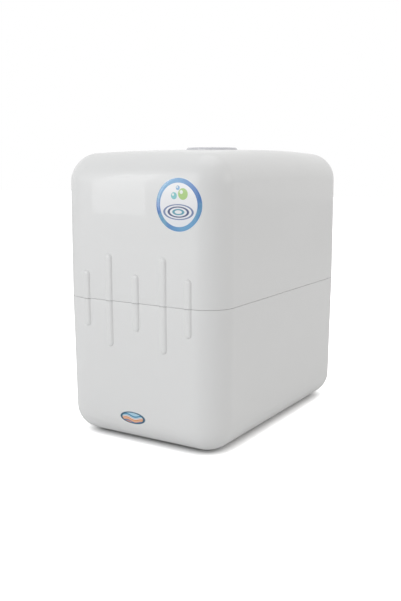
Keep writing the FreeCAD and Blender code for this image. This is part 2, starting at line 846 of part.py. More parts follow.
def membrane_cap():
    """Screw cap of the membrane housing, with the feed port on top."""
    x, y = membrane_x, row_y
    low = filter_top - port_boss_height - membrane_cap_height
    high = filter_top - port_boss_height
    outer = filter_radius - membrane_neck_step + membrane_cap_wall
    body = rod(outer, Vector(x, y, low), Vector(x, y, high))
    rims = [edge for edge in body.Edges if edge.BoundBox.ZMin > high - 1]
    body = body.makeFillet(membrane_cap_wall, rims)
    boss = rod(port_boss_radius, Vector(x, y, high - membrane_cap_wall), Vector(x, y, filter_top))
    hollow = rod(filter_radius - membrane_neck_step + thread_clearance, Vector(x, y, low - 1),
                 Vector(x, y, high - membrane_cap_wall))
    port = rod(stud_hole, Vector(x, y, low), Vector(x, y, filter_top + 1))
    return joined([body, boss]).cut(hollow).cut(port)


def membrane_top():
    """Height of the top face of the membrane element."""
    return filter_top - port_boss_height - membrane_cap_height + membrane_neck_height - 2 * core_clearance


def membrane_element():
    """Rolled membrane with its permeate tube, whose lower end sits in the housing's seat."""
    x, y = membrane_x, row_y
    inside = filter_bottom + port_boss_height + filter_wall
    low = inside + stud_length + core_clearance
    high = membrane_top()
    roll = rod(membrane_element_radius, Vector(x, y, low), Vector(x, y, high))
    core = rod(membrane_core_radius, Vector(x, y, inside), Vector(x, y, high + core_clearance))
    bore = rod(membrane_core_radius / 2, Vector(x, y, inside - 1), Vector(x, y, high))
    return joined([roll, core]).cut(bore)


def membrane_seals():
    """The lip seal round the roll's upper end and the O-ring under the screw cap."""
    x, y = membrane_x, row_y
    high = membrane_top()
    bore_radius = filter_radius - filter_wall - membrane_neck_step
    lip = ring(bore_radius - thread_clearance, membrane_element_radius + thread_clearance,
               Vector(x, y, high - 3 * core_clearance), Vector(x, y, high - core_clearance))
    neck_top_z = filter_top - port_boss_height - membrane_cap_height + membrane_neck_height
    cap_ring = ring(filter_radius - membrane_neck_step, bore_radius, Vector(x, y, neck_top_z),
                    Vector(x, y, neck_top_z + core_clearance))
    return Part.makeCompound([lip, cap_ring])


def canister_places():
    """Centre and facing of every clipped canister: x, y and the side where its bracket stands."""
    front_row = [(x, -row_y, 1) for x in (left_x, 0, right_x)]
    rear_row = [(x, row_y, -1) for x in (membrane_x, post_filter_x)]
    return front_row + rear_row


def clip(x, y, side, z):
    """A spring clip that holds a canister against its bracket."""
    low = Vector(x, y, z - clip_height / 2)
    high = Vector(x, y, z + clip_height / 2)
    inner = filter_radius + clip_clearance
    outer = inner + clip_wall
    band = rod(outer, low, high)
    face = y + side * (filter_radius + clip_standoff)
    y0, y1 = sorted((y, face))
    base = block(x - clip_base_width / 2, x + clip_base_width / 2, y0, y1, low.z, high.z)
    reach = 2 * outer
    spread = reach * math.tan(math.radians(clip_half_opening))
    corners = [Vector(x, y, low.z - 1), Vector(x - spread, y - side * reach, low.z - 1),
               Vector(x + spread, y - side * reach, low.z - 1), Vector(x, y, low.z - 1)]
    opening = Part.Face(Part.makePolygon(corners)).extrude(Z * (clip_height + 2))
    solid = joined([band, base]).cut(rod(inner, low - Z, high + Z)).cut(opening)
    centre = Vector(x, y, z)
    way = Vector(0, side, 0)
    head_room = rod(head_room_radius, centre,
                    centre + way * (filter_radius + 2 * small_screw_head - clip_clearance))
    hole = rod(small_hole, centre, centre + way * (filter_radius + clip_standoff + 1))
    return solid.cut(head_room).cut(hole)


def filter_clips():
    """Two clips for each canister."""
    places = [(x, y, side, z) for x, y, side in canister_places() for z in (low_clip_z, high_clip_z)]
    return Part.makeCompound([clip(*place) for place in places])


def clip_screws():
    """One screw through each clip into its bracket."""
    solids = []
    for x, y, side in canister_places():
        for z in (low_clip_z, high_clip_z):
            way = Vector(0, side, 0)
            seat = Vector(x, y, z) + way * (filter_radius + 2 * small_screw_head - clip_clearance)
            tip = Vector(x, y, z) + way * (filter_radius + clip_standoff + 2 * bracket_sheet)
            solids.append(screw(small_screw_radius, small_screw_head, seat, tip))
    return Part.makeCompound(solids)


def bracket(side, columns):
    """A bent steel bracket: a leg on a floor flange and a wide plate that carries the clips."""
    y0, y1 = sorted((side * bracket_y, side * (bracket_y + bracket_sheet)))
    half_width = filter_pitch + bracket_margin
    leg_top = flange_z + bracket_leg_height
    plate_top = filter_top - bracket_top_drop
    plate = block(-half_width, half_width, y0, y1, leg_top, plate_top)
    leg = block(-bracket_leg_half_width, bracket_leg_half_width, y0, y1, flange_z, leg_top + 1)
    flange_y0, flange_y1 = sorted((side * (bracket_y + bracket_sheet), side * (bracket_y - flange_depth)))
    flange = block(-bracket_leg_half_width, bracket_leg_half_width, flange_y0, flange_y1,
                   flange_z, flange_z + bracket_sheet)
    solids = [plate, leg, flange]
    if side > 0:
        solids.append(block(-shelf_half_width, shelf_half_width, y0, y1, plate_top - 1, shelf_top))
        shelf_y = shutoff_y - shutoff_radius - shelf_front_margin
        shelf_z = shelf_top - bracket_sheet
        solids.append(block(-shelf_half_width, shelf_half_width, shelf_y, y1, shelf_z, shelf_top))
    solid = joined(solids)
    for place in flange_screw_places():
        if place.y * side > 0:
            hole = rod(small_hole, place + Z * (flange_z - 1),
                       place + Z * (flange_z + 2 * bracket_sheet))
            solid = solid.cut(hole)
    for x in columns:
        for z in (low_clip_z, high_clip_z):
            solid = solid.cut(rod(small_hole, Vector(x, y0 - 1, z), Vector(x, y1 + 1, z)))
    if side > 0:
        for y in shutoff_mount_places():
            low = Vector(0, y, shelf_top - 2 * bracket_sheet)
            solid = solid.cut(rod(small_hole, low, Vector(0, y, shelf_top + cut_margin)))
    return solid


def bracket_screws():
    """Screws through the bracket flanges into the floor bosses."""
    solids = []
    for place in flange_screw_places():
        start = place + Z * (flange_z + bracket_sheet)
        solids.append(screw(small_screw_radius, small_screw_head, start, place + Z * (floor_z + 1)))
    return Part.makeCompound(solids)


def dome_outline(radius, knuckle, crown, tangent_z, way):
    """Arcs of a dished end from its cylinder to its pole: (radius, height) pieces and the pole height."""
    drop = math.sqrt((crown - knuckle) ** 2 - (radius - knuckle) ** 2)
    centre_z = tangent_z - way * drop
    blend = (radius - knuckle) / (crown - knuckle)
    join_angle = math.acos(blend)
    mid_angle = join_angle / 2
    knuckle_mid = (radius - knuckle + knuckle * math.cos(mid_angle),
                   tangent_z + way * knuckle * math.sin(mid_angle))
    join = (crown * blend, centre_z + way * crown * math.sin(join_angle))
    crown_angle = (join_angle + math.pi / 2) / 2
    crown_mid = (crown * math.cos(crown_angle), centre_z + way * crown * math.sin(crown_angle))
    pole = (0.0, centre_z + way * crown)
    return [[(radius, tangent_z), knuckle_mid, join], [join, crown_mid, pole]]


def tank_half(way):
    """One pressed half of the tank, from the middle seam to its dished end."""
    end_z = tank_top if way > 0 else tank_bottom
    tangent_z = end_z - way * dome_height
    outside = dome_outline(tank_radius, tank_knuckle, tank_crown, tangent_z, way)
    inside = dome_outline(tank_radius - tank_sheet, tank_knuckle - tank_sheet, tank_crown - tank_sheet,
                          tangent_z, way)
    profiles = []
    for radius, arcs in ((tank_radius, outside), (tank_radius - tank_sheet, inside)):
        pole = arcs[-1][-1]
        start = (radius, tank_middle)
        outline = [[(0.0, tank_middle), start], [start, arcs[0][0]]] + arcs + [[pole, (0.0, tank_middle)]]
        profiles.append(turned(outline))
    shell = profiles[0].cut(profiles[1])
    if way > 0:
        seam = ring(tank_radius + seam_step, tank_radius - tank_sheet, Z * tank_middle,
                    Z * (tank_middle + seam_height))
        neck = rod(neck_radius, Z * (tank_top - 2 * tank_sheet), Z * neck_top)
        neck = neck.cut(profiles[1])
        bore = rod(neck_bore, Z * (tank_top - neck_length), Z * (neck_top + cut_margin))
        shell = joined([shell, seam, neck]).cut(bore)
    return shell


def air_valve_axis():
    """Start point and direction of the air valve on the tank's wall."""
    angle = math.radians(air_valve_angle)
    out = Vector(math.cos(angle), math.sin(angle), 0)
    return out * tank_radius + Z * (floor_z + air_valve_rise), out


def tank_lower_shell():
    """Lower half of the tank with the boss for the air valve."""
    start, out = air_valve_axis()
    boss = rod(air_boss_radius, start - out * tank_sheet, start + out * air_boss_length)
    shell = joined([tank_half(-1), boss])
    return shell.cut(rod(air_stem_radius + thread_clearance, start - out * 3 * tank_sheet,
                         start + out * (air_boss_length + 1)))


def tank_bladder():
    """Rubber diaphragm across the middle of the tank."""
    edge = tank_radius - tank_sheet - stand_clearance
    sag = bladder_curve - math.sqrt(bladder_curve ** 2 - edge ** 2)
    mid_edge = edge / 2
    mid_sag = bladder_curve - math.sqrt(bladder_curve ** 2 - mid_edge ** 2)
    low = tank_middle - sag
    high = low + bladder_thickness
    mid_rise = mid_sag
    return turned([[(0, low), (mid_edge, low + mid_rise), (edge, tank_middle)],
                   [(edge, tank_middle), (edge, tank_middle + bladder_thickness)],
                   [(edge, tank_middle + bladder_thickness), (mid_edge, high + mid_rise), (0, high)],
                   [(0, high), (0, low)]])


def tank_stand():
    """Plastic ring under the tank, cut to its dished end, with four arches for tubes and water."""
    rim_z = tank_bottom + tank_crown - math.sqrt(tank_crown ** 2 - stand_radius ** 2) + stand_rim
    wall = ring(stand_radius, stand_radius - stand_wall, Z * floor_z, Z * rim_z)
    bowl = Part.makeSphere(tank_crown + stand_clearance, Z * (tank_bottom + tank_crown))
    solid = wall.cut(bowl)
    for direction in (Vector(1, 1, 0), Vector(1, -1, 0)):
        way = direction.normalize() * (2 * stand_radius)
        solid = solid.cut(rod(arch_radius, Z * floor_z - way, Z * floor_z + way))
    return solid


def tank_air_valve():
    """Air valve stem in the tank's boss."""
    start, out = air_valve_axis()
    low = start - out * 2 * tank_sheet
    high = start + out * (air_boss_length + air_stem_length)
    return ring(air_stem_radius, air_bore_radius, low, high)


def air_valve_cap():
    """Dust cap over the air valve."""
    start, out = air_valve_axis()
    low = start + out * (air_boss_length + air_cap_clearance)
    lid = air_stem_length + air_cap_clearance
    body = rod(air_cap_radius, low, low + out * (lid + air_cap_clearance + 1))
    return body.cut(rod(air_stem_radius + air_cap_clearance, low - out, low + out * lid))


def tank_valve_body():
    """Body of the tank's ball valve: skirt on the neck, ball chamber and outlet arm."""
    skirt_low = tank_top + air_cap_clearance * 4
    waist = neck_top + ball_radius
    chamber = ball_radius + ball_clearance
    bonnet_z = product_z + ball_radius + bonnet_flange * 2
    skirt = rod(valve_skirt_radius, Z * skirt_low, Z * waist)
    upper = rod(valve_body_radius, Z * (waist - 1), Z * bonnet_z)
    arm = rod(valve_arm_radius, Z * product_z, valve_mouth)
    body = joined([skirt, upper, arm])
    body = body.cut(rod(neck_radius + thread_clearance, Z * (skirt_low - 1), Z * (neck_top + neck_play)))
    body = body.cut(rod(ball_bore, Z * neck_top, Z * product_z))
    body = body.cut(Part.makeSphere(chamber, Z * product_z))
    body = body.cut(rod(chamber, Z * product_z, Z * (bonnet_z + 1)))
    body = body.cut(rod(waterway_radius, Z * product_z, valve_mouth))
    return body.cut(socket_void(valve_mouth, right))


def tank_valve_bonnet():
    """Screwed plug that closes the ball chamber and guides the stem."""
    bonnet_z = product_z + ball_radius + bonnet_flange * 2
    plug_low = product_z + ball_radius + bonnet_play
    plug = rod(ball_radius, Z * plug_low, Z * (bonnet_z + 1))
    flange = hexagon(bonnet_radius * math.sqrt(3), Z * bonnet_z, Z * (bonnet_z + bonnet_flange))
    top = bonnet_z + bonnet_flange + cut_margin
    return joined([plug, flange]).cut(rod(stem_radius + stem_clearance, Z * product_z, Z * top))


def tank_valve_ball():
    """Ball with an angled waterway and its stem."""
    ball = Part.makeSphere(ball_radius, Z * product_z)
    stem = rod(stem_radius, Z * product_z, Z * (hub_high - stem_drop))
    solid = joined([ball, stem])
    solid = solid.cut(rod(ball_bore, Z * (product_z - 2 * ball_radius), Z * (product_z + ball_bore)))
    solid = solid.cut(rod(ball_side_bore, Z * product_z, Z * product_z + right * (2 * ball_radius)))
    pilot_low = hub_high - stem_drop - lever_screw_length
    return solid.cut(rod(small_screw_radius + screw_clearance / 2, Z * pilot_low, Z * hub_high))


def tank_valve_lever():
    """Lever on the valve stem, in line with the outlet when the valve is open."""
    hub = rod(hub_radius, Z * hub_low, Z * hub_high)
    arm = block(0, lever_length - lever_width / 2, -lever_width / 2, lever_width / 2,
                hub_high - lever_thickness, hub_high)
    tip_low = Vector(lever_length - lever_width / 2, 0, hub_high - lever_thickness)
    tip = rod(lever_width / 2, tip_low, tip_low + Z * lever_thickness)
    solid = joined([hub, arm, tip])
    solid = solid.cut(rod(stem_radius + thread_clearance, Z * (hub_low - 1), Z * (hub_high - stem_drop)))
    return solid.cut(rod(small_hole, Z * hub_low, Z * (hub_high + 1)))


def lever_screw():
    """Screw that holds the lever to the stem."""
    return screw(small_screw_radius, small_screw_head, Z * hub_high, Z * (hub_high - lever_screw_length))


def shutoff_mount_places():
    """The y positions of the two screws that hold the shut-off valve to its shelf."""
    offset = (shutoff_radius + plunger_radius) / 2
    return (shutoff_y - offset, shutoff_y + offset)


def cover_screw_places():
    """The four screws of the shut-off valve's cover."""
    places = []
    for turn in (45, 135, 225, 315):
        angle = math.radians(turn)
        offset = Vector(math.cos(angle), math.sin(angle), 0) * cover_screw_ring
        places.append(Vector(0, shutoff_y, 0) + offset)
    return places


def shutoff_centre(z):
    """A point on the shut-off valve's axis."""
    return Vector(0, shutoff_y, z)


def shutoff_body():
    """Feed side of the shut-off valve, with two sockets in line and the plunger's guide."""
    body = rod(shutoff_radius, shutoff_centre(shelf_top), shutoff_centre(shutoff_split))
    arm = rod(socket_radius, shutoff_left, shutoff_right)
    solid = joined([body, arm])
    recess_z = shutoff_split - diaphragm_thickness
    solid = solid.cut(rod(diaphragm_radius + thread_clearance, shutoff_centre(recess_z),
                          shutoff_centre(shutoff_split + 1)))
    solid = solid.cut(rod(chamber_radius, shutoff_centre(shutoff_split - chamber_depth),
                          shutoff_centre(shutoff_split + 1)))
    guide_z = feed_z - waterway_radius - plunger_gap
    solid = solid.cut(rod(plunger_radius + plunger_clearance, shutoff_centre(guide_z),
                          shutoff_centre(shutoff_split)))
    solid = solid.cut(rod(waterway_radius, shutoff_left, shutoff_right))
    for place in cover_screw_places():
        low = place + Z * (shelf_top + 1)
        solid = solid.cut(rod(small_hole, low, place + Z * (shutoff_split + cut_margin)))
    for y in shutoff_mount_places():
        solid = solid.cut(rod(small_hole, Vector(0, y, shelf_top - 1),
                              Vector(0, y, shelf_top + shutoff_half_height)))
    return solid.cut(socket_void(shutoff_left, left)).cut(socket_void(shutoff_right, right))


def shutoff_cover():
    """Product side of the shut-off valve, screwed over the diaphragm."""
    high = product_z + shutoff_half_height
    body = rod(shutoff_radius, shutoff_centre(shutoff_split), shutoff_centre(high))
    rims = [edge for edge in body.Edges if edge.BoundBox.ZMin > high - 1]
    body = body.makeFillet(clip_wall, rims)
    arm = rod(socket_radius, cover_left, cover_right)
    solid = joined([body, arm])
    solid = solid.cut(rod(chamber_radius, shutoff_centre(shutoff_split - 1),
                          shutoff_centre(shutoff_split + chamber_depth / 2)))
    solid = solid.cut(rod(side_waterway_radius, shutoff_centre(shutoff_split), shutoff_centre(product_z)))
    solid = solid.cut(rod(waterway_radius, cover_left, cover_right))
    for place in cover_screw_places():
        low = place + Z * (shutoff_split - cut_margin)
        solid = solid.cut(rod(small_hole, low, place + Z * (high + cut_margin)))
        solid = solid.cut(rod(head_room_radius,
                              place + Z * (high - small_screw_head), place + Z * (high + 1)))
    return solid.cut(socket_void(cover_left, left)).cut(socket_void(cover_right, right))


def shutoff_diaphragm():
    """Rubber diaphragm clamped between the shut-off valve's halves."""
    low = shutoff_centre(shutoff_split - diaphragm_thickness)
    return rod(diaphragm_radius, low, shutoff_centre(shutoff_split))


def shutoff_plunger():
    """Plunger in its lowest place, where it closes the feed. The feed's pressure lifts it."""
    low = shutoff_split - chamber_depth + plunger_gap
    high = low + plunger_head
    head = rod(plunger_head_radius, shutoff_centre(low), shutoff_centre(high))
    pin_z = feed_z - waterway_radius
    pin = rod(plunger_radius, shutoff_centre(pin_z), shutoff_centre(high))
    return joined([head, pin])


def shutoff_screws():
    """Four cover screws and two screws from below the shelf."""
    high = product_z + shutoff_half_height - small_screw_head
    solids = [screw(small_screw_radius, small_screw_head, place + Z * high, place + Z * (shelf_top + 2))
              for place in cover_screw_places()]
    for y in shutoff_mount_places():
        start = Vector(0, y, shelf_top - bracket_sheet)
        end = start + Z * (bracket_sheet + shelf_screw_grip)
        solids.append(screw(small_screw_radius, small_screw_head, start, end))
    return Part.makeCompound(solids)


def tee_fitting():
    """Push-fit tee between the shut-off valve, the tank and the last filter."""
    half_hub = rear * elbow_body_radius
    hub = rod(tee_hub_radius, tee_centre - half_hub, tee_centre + half_hub)
    solid = joined([hub, rod(socket_radius, tee_front, tee_rear), rod(socket_radius, tee_left, tee_centre)])
    solid = solid.cut(rod(waterway_radius, tee_front, tee_rear))
    solid = solid.cut(rod(side_waterway_radius, tee_left, tee_centre))
    for mouth, out in ((tee_left, left), (tee_front, front), (tee_rear, rear)):
        solid = solid.cut(socket_void(mouth, out))
    return solid


def check_seat_z():
    """Height of the seat that the check valve's poppet rests on."""
    return check_low.z + socket_depth + check_seat


def check_valve_body():
    """Upright check valve: two sockets with a poppet chamber between them."""
    solid = rod(check_valve_radius, check_low, check_high)
    chamber_high = check_high - Z * (socket_depth + check_seat)
    seat = Vector(check_low.x, check_low.y, check_seat_z())
    solid = solid.cut(rod(check_chamber_radius, seat, chamber_high))
    solid = solid.cut(rod(waterway_radius, check_low, check_high))
    return solid.cut(socket_void(check_low, -Z)).cut(socket_void(check_high, Z))


def check_valve_poppet():
    """Poppet that the flow lifts off its seat, guided by its stem in the outlet hole."""
    seat = Vector(check_low.x, check_low.y, check_seat_z())
    chamber_high = check_high.z - socket_depth - check_seat
    low = seat + Z * poppet_gap
    disc = rod(poppet_radius, low, low + Z * poppet_thickness)
    stem = rod(poppet_stem_radius, low, Vector(seat.x, seat.y, chamber_high + 1))
    return joined([disc, stem])


def flow_restrictor():
    """Inline restrictor with a capillary that keeps the membrane under pressure."""
    solid = ring(restrictor_radius, capillary_radius, restrictor_low, restrictor_high)
    return solid.cut(socket_void(restrictor_low, -Z)).cut(socket_void(restrictor_high, Z))


def bulkhead_port(name):
    """A bulkhead union through the rear wall, with a socket at each end."""
    x = port_places()[name]
    flange = hexagon(port_flange_radius * math.sqrt(3), Vector(x, pad_face_y, port_z),
                     Vector(x, pad_face_y + port_flange, port_z))
    nose = rod(port_nose_radius, Vector(x, pad_face_y, port_z), port_outer_mouths[name])
    shank = rod(port_shank_radius, port_inner_mouths[name], Vector(x, pad_face_y + 1, port_z))
    solid = joined([flange, nose, shank])
    solid = solid.cut(rod(waterway_radius, port_inner_mouths[name], port_outer_mouths[name]))
    solid = solid.cut(socket_void(port_inner_mouths[name], front))
    outer = port_outer_mouths[name]
    solid = solid.cut(rod(tube_bore, outer - rear * socket_depth, outer + rear))
    seat_depth = port_collet_length + o_ring_section + 2 * collet_clearance
    return solid.cut(rod(collet_radius + collet_clearance, outer - rear * seat_depth, outer + rear))


def port_collet(name):
    """The release collet at the outer end of a port, standing out by its travel."""
    return collet(port_outer_mouths[name], rear, port_collet_length, port_collet_travel)


def port_o_rings():
    """Square-section seals behind the collets of the outer sockets."""
    solids = []
    seat_depth = port_collet_length + o_ring_section + 2 * collet_clearance
    for mouth in port_outer_mouths.values():
        start = mouth - rear * seat_depth
        solids.append(ring(collet_radius, tube_bore, start, start + rear * o_ring_section))
    return Part.makeCompound(solids)


def port_nuts():
    """Nuts that clamp the bulkhead ports to the rear wall from inside."""
    solids = []
    for x in port_places().values():
        inner = Vector(x, pad_inner_y - port_nut_thickness, port_z)
        outer = Vector(x, pad_inner_y, port_z)
        nut = hexagon(port_nut_width, inner, outer)
        solids.append(nut.cut(rod(port_shank_radius + thread_clearance, inner + front, outer + rear)))
    return Part.makeCompound(solids)


def feed_tube():
    """Tube from the feed port down and along the floor to the sediment filter."""
    mouth = port_inner_mouths["feed"]
    inlet = elbows["sediment_in"]
    floor_level = floor_z + feed_run_height
    down_y = riser_y - feed_riser_step
    run_x = -bracket_leg_half_width - feed_run_gap
    points = [tube_end(mouth, front),
              Vector(mouth.x, down_y, port_z),
              Vector(mouth.x, down_y, floor_level),
              Vector(run_x, down_y, floor_level),
              Vector(run_x, -tower_y, floor_level),
              Vector(inlet.mouth.x, inlet.mouth.y + elbow_reach, low_feed_z),
              inlet.end()]
    return tube("feed_tube", points)


def prefilter_tubes():
    """The short tubes that join the three prefilters, and those on to the membrane by the shut-off valve."""
    pairs = (("sediment_out", "granular_in"), ("granular_out", "block_in"))
    tubes = [tube("prefilter_tube", [elbows[a].end(), elbows[b].end()]) for a, b in pairs]
    outlet = elbows["block_out"]
    inlet = elbows["membrane_in"]
    tubes.append(tube("membrane_feed_1", [outlet.end(), Vector(right_x, shutoff_y, feed_z),
                                          tube_end(shutoff_right, right)]))
    tubes.append(tube("membrane_feed_2", [tube_end(shutoff_left, left), Vector(membrane_x, shutoff_y, feed_z),
                                          inlet.end()]))
    return Part.makeCompound(tubes)


def permeate_tubes():
    """Tubes from the membrane through the check valve and shut-off valve to the tee."""
    outlet = elbows["permeate_out"]
    low = tube("permeate_1", [outlet.end(), Vector(riser_x, row_y, low_feed_z), tube_end(check_low, -Z)])
    corner = Vector(membrane_x - elbow_body_radius, shutoff_y, product_z)
    middle = tube("permeate_2", [tube_end(check_high, Z), Vector(riser_x, row_y, product_z), corner,
                                 tube_end(cover_left, left)])
    high = tube("permeate_3", [tube_end(cover_right, right), tube_end(tee_left, left)])
    return Part.makeCompound([low, middle, high])


def product_tubes():
    """Tubes from the tee to the tank valve, and through the last filter to the pure water port."""
    inlet = elbows["post_in"]
    outlet = elbows["post_out"]
    mouth = port_inner_mouths["pure"]
    first = tube("product_1", [tube_end(tee_rear, rear), inlet.end()])
    level = post_bottom - elbow_rise
    second = tube("product_2", [outlet.end(), Vector(mouth.x, riser_y, level),
                                Vector(mouth.x, riser_y, port_z), tube_end(mouth, front)])
    to_tank = tube("tank_tube", [tube_end(tee_front, front), Vector(tee_centre.x, 0, product_z),
                                 tube_end(valve_mouth, right)])
    return Part.makeCompound([to_tank, first, second])


def drain_tubes():
    """Tubes from the membrane's brine outlet through the restrictor to the drain port."""
    outlet = elbows["brine_out"]
    mouth = port_inner_mouths["drain"]
    low = tube("drain_1", [outlet.end(), Vector(0, riser_y, low_feed_z), tube_end(restrictor_low, -Z)])
    high = tube("drain_2", [tube_end(restrictor_high, Z), Vector(0, riser_y, port_z), tube_end(mouth, front)])
    return Part.makeCompound([low, high])


def export_all():
    """Write every sub-part."""
    os.makedirs("parts", exist_ok=True)
    plain = [lower_casing, upper_casing, round_badge, oval_badge, service_cap, cap_gasket, feet, case_screws,
             filter_elbows, fitting_collets, membrane_housing, membrane_cap, membrane_element, membrane_seals,
             filter_clips, clip_screws, bracket_screws, tank_lower_shell, tank_bladder, tank_stand,
             tank_air_valve, air_valve_cap, tank_valve_body, tank_valve_bonnet, tank_valve_ball,
             tank_valve_lever, lever_screw, shutoff_body, shutoff_cover, shutoff_diaphragm, shutoff_plunger,
             shutoff_screws, tee_fitting, check_valve_body, check_valve_poppet, flow_restrictor, port_o_rings,
             port_nuts, feed_tube, prefilter_tubes, permeate_tubes, product_tubes, drain_tubes]
    for make in plain:
        export(make(), make.__name__)
    export(tank_half(1), "tank_upper_shell")
    export(bracket(-1, (left_x, 0, right_x)), "front_bracket")
    export(bracket(1, (membrane_x, post_filter_x)), "rear_bracket")
    filters = {"sediment": (left_x, -row_y, filter_bottom, filter_top, core_bore_radius),
               "granular": (0, -row_y, filter_bottom, filter_top, 0),
               "block": (right_x, -row_y, filter_bottom, filter_top, core_bore_radius),
               "post": (post_filter_x, row_y, post_bottom, post_top, 0)}
    for name, (x, y, low, high, bore) in filters.items():
        export(canister(x, y, low, high), name + "_canister")
        export(core_solid(x, y, low, high, bore), name + "_core")
    for name in port_places():
        export(bulkhead_port(name), name + "_port")
        export(port_collet(name), name + "_collet")


export_all()
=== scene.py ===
# %% [markdown]
# # A water purifier in a closed plastic casing
# The real object is a free-standing reverse-osmosis unit: two glossy moulded halves that meet at
# half height, five raised ribs across that joint, two domed badges and a low round cap in the top.
# Filters, a membrane and a small pressure tank fill the inside. The CAD model gives every solid
# its place, and this script gives them their looks. We work in metres, with Z up and the front at
# -Y, so a size from the CAD model is only divided by a thousand.

# %% Load the CAD model as a fixed frame
import json
import math
import bmesh
import bpy
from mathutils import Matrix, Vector


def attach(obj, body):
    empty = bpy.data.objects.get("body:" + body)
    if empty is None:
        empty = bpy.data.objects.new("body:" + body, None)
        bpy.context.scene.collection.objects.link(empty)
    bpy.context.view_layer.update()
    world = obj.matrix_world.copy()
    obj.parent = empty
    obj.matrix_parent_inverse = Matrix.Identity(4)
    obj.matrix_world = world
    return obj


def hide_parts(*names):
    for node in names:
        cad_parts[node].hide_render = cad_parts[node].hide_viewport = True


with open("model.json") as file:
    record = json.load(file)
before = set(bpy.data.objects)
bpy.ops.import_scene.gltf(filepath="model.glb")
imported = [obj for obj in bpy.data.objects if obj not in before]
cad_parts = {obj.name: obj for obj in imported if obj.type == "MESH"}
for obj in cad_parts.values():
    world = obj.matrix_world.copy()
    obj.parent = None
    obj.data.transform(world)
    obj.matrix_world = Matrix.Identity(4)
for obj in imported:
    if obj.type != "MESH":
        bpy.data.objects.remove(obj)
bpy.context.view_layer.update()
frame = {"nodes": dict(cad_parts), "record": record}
MM = 0.001

# %% [markdown]
# ## The camera
# A photograph fixes where its camera stood. The outline of the casing was fitted with a rounded
# box, which gave the place, the two angles and the focal length below. Blender measures the lens
# against the longer side of the picture, here the upright one, so a focal length in pixels becomes
# millimetres of a 36 mm sensor.

# %% Make the camera
CAMERA_PLACE = (0.6252, -1.0557, 0.3880)
CAMERA_YAW = 0.55159
CAMERA_PITCH = 0.17318
FOCAL_PIXELS = 801.9
PICTURE_HEIGHT = 601
SENSOR = 36.0


def aimed(name, data, place, direction):
    """A camera or lamp that stands at a place and looks along a direction."""
    thing = bpy.data.objects.new(name, data)
    thing.location = place
    thing.rotation_mode = "QUATERNION"
    thing.rotation_quaternion = direction.to_track_quat("-Z", "Y")
    bpy.context.collection.objects.link(thing)
    return thing


ahead = Vector((-math.sin(CAMERA_YAW) * math.cos(CAMERA_PITCH),
                math.cos(CAMERA_YAW) * math.cos(CAMERA_PITCH), -math.sin(CAMERA_PITCH)))
camera_data = bpy.data.cameras.new("photo_camera")
camera_data.sensor_width = SENSOR
camera_data.lens = FOCAL_PIXELS / PICTURE_HEIGHT * SENSOR
bpy.context.scene.camera = aimed("photo_camera", camera_data, CAMERA_PLACE, ahead)
bpy.context.scene.view_settings.view_transform = "Standard"
print("lens in mm:", round(camera_data.lens, 2))

# %% [markdown]
# ## A short way to write node trees
# Shaders and Geometry Nodes are both trees of nodes joined by links. Writing each node and link by
# hand is long, so a small class adds one node per call and hands back its output, which the next
# call can take as an input. Outputs also know the signs of arithmetic, and each sign adds the Math
# node that it stands for. A formula then reads almost like ordinary code.

# %% Outputs that know the signs of arithmetic
class Value:
    """An output of a node. A sign between two values adds a Math node to the same tree."""

    def __init__(self, graph, socket):
        self.graph = graph
        self.socket = socket
        self.is_vector = socket.type in ("VECTOR", "RGBA")

    def __add__(self, other):
        return self.graph.sign("ADD", self, other)

    def __sub__(self, other):
        return self.graph.sign("SUBTRACT", self, other)

    def __rsub__(self, other):
        return self.graph.sign("SUBTRACT", other, self)

    def __mul__(self, other):
        return self.graph.sign("MULTIPLY", self, other)

    def __truediv__(self, other):
        return self.graph.sign("DIVIDE", self, other)

    def __pow__(self, other):
        return self.graph.sign("POWER", self, other)


print("values know the signs + - * / and **")

# %% A helper that builds node trees
NODE_STEP = 190
NODES_IN_A_ROW = 12


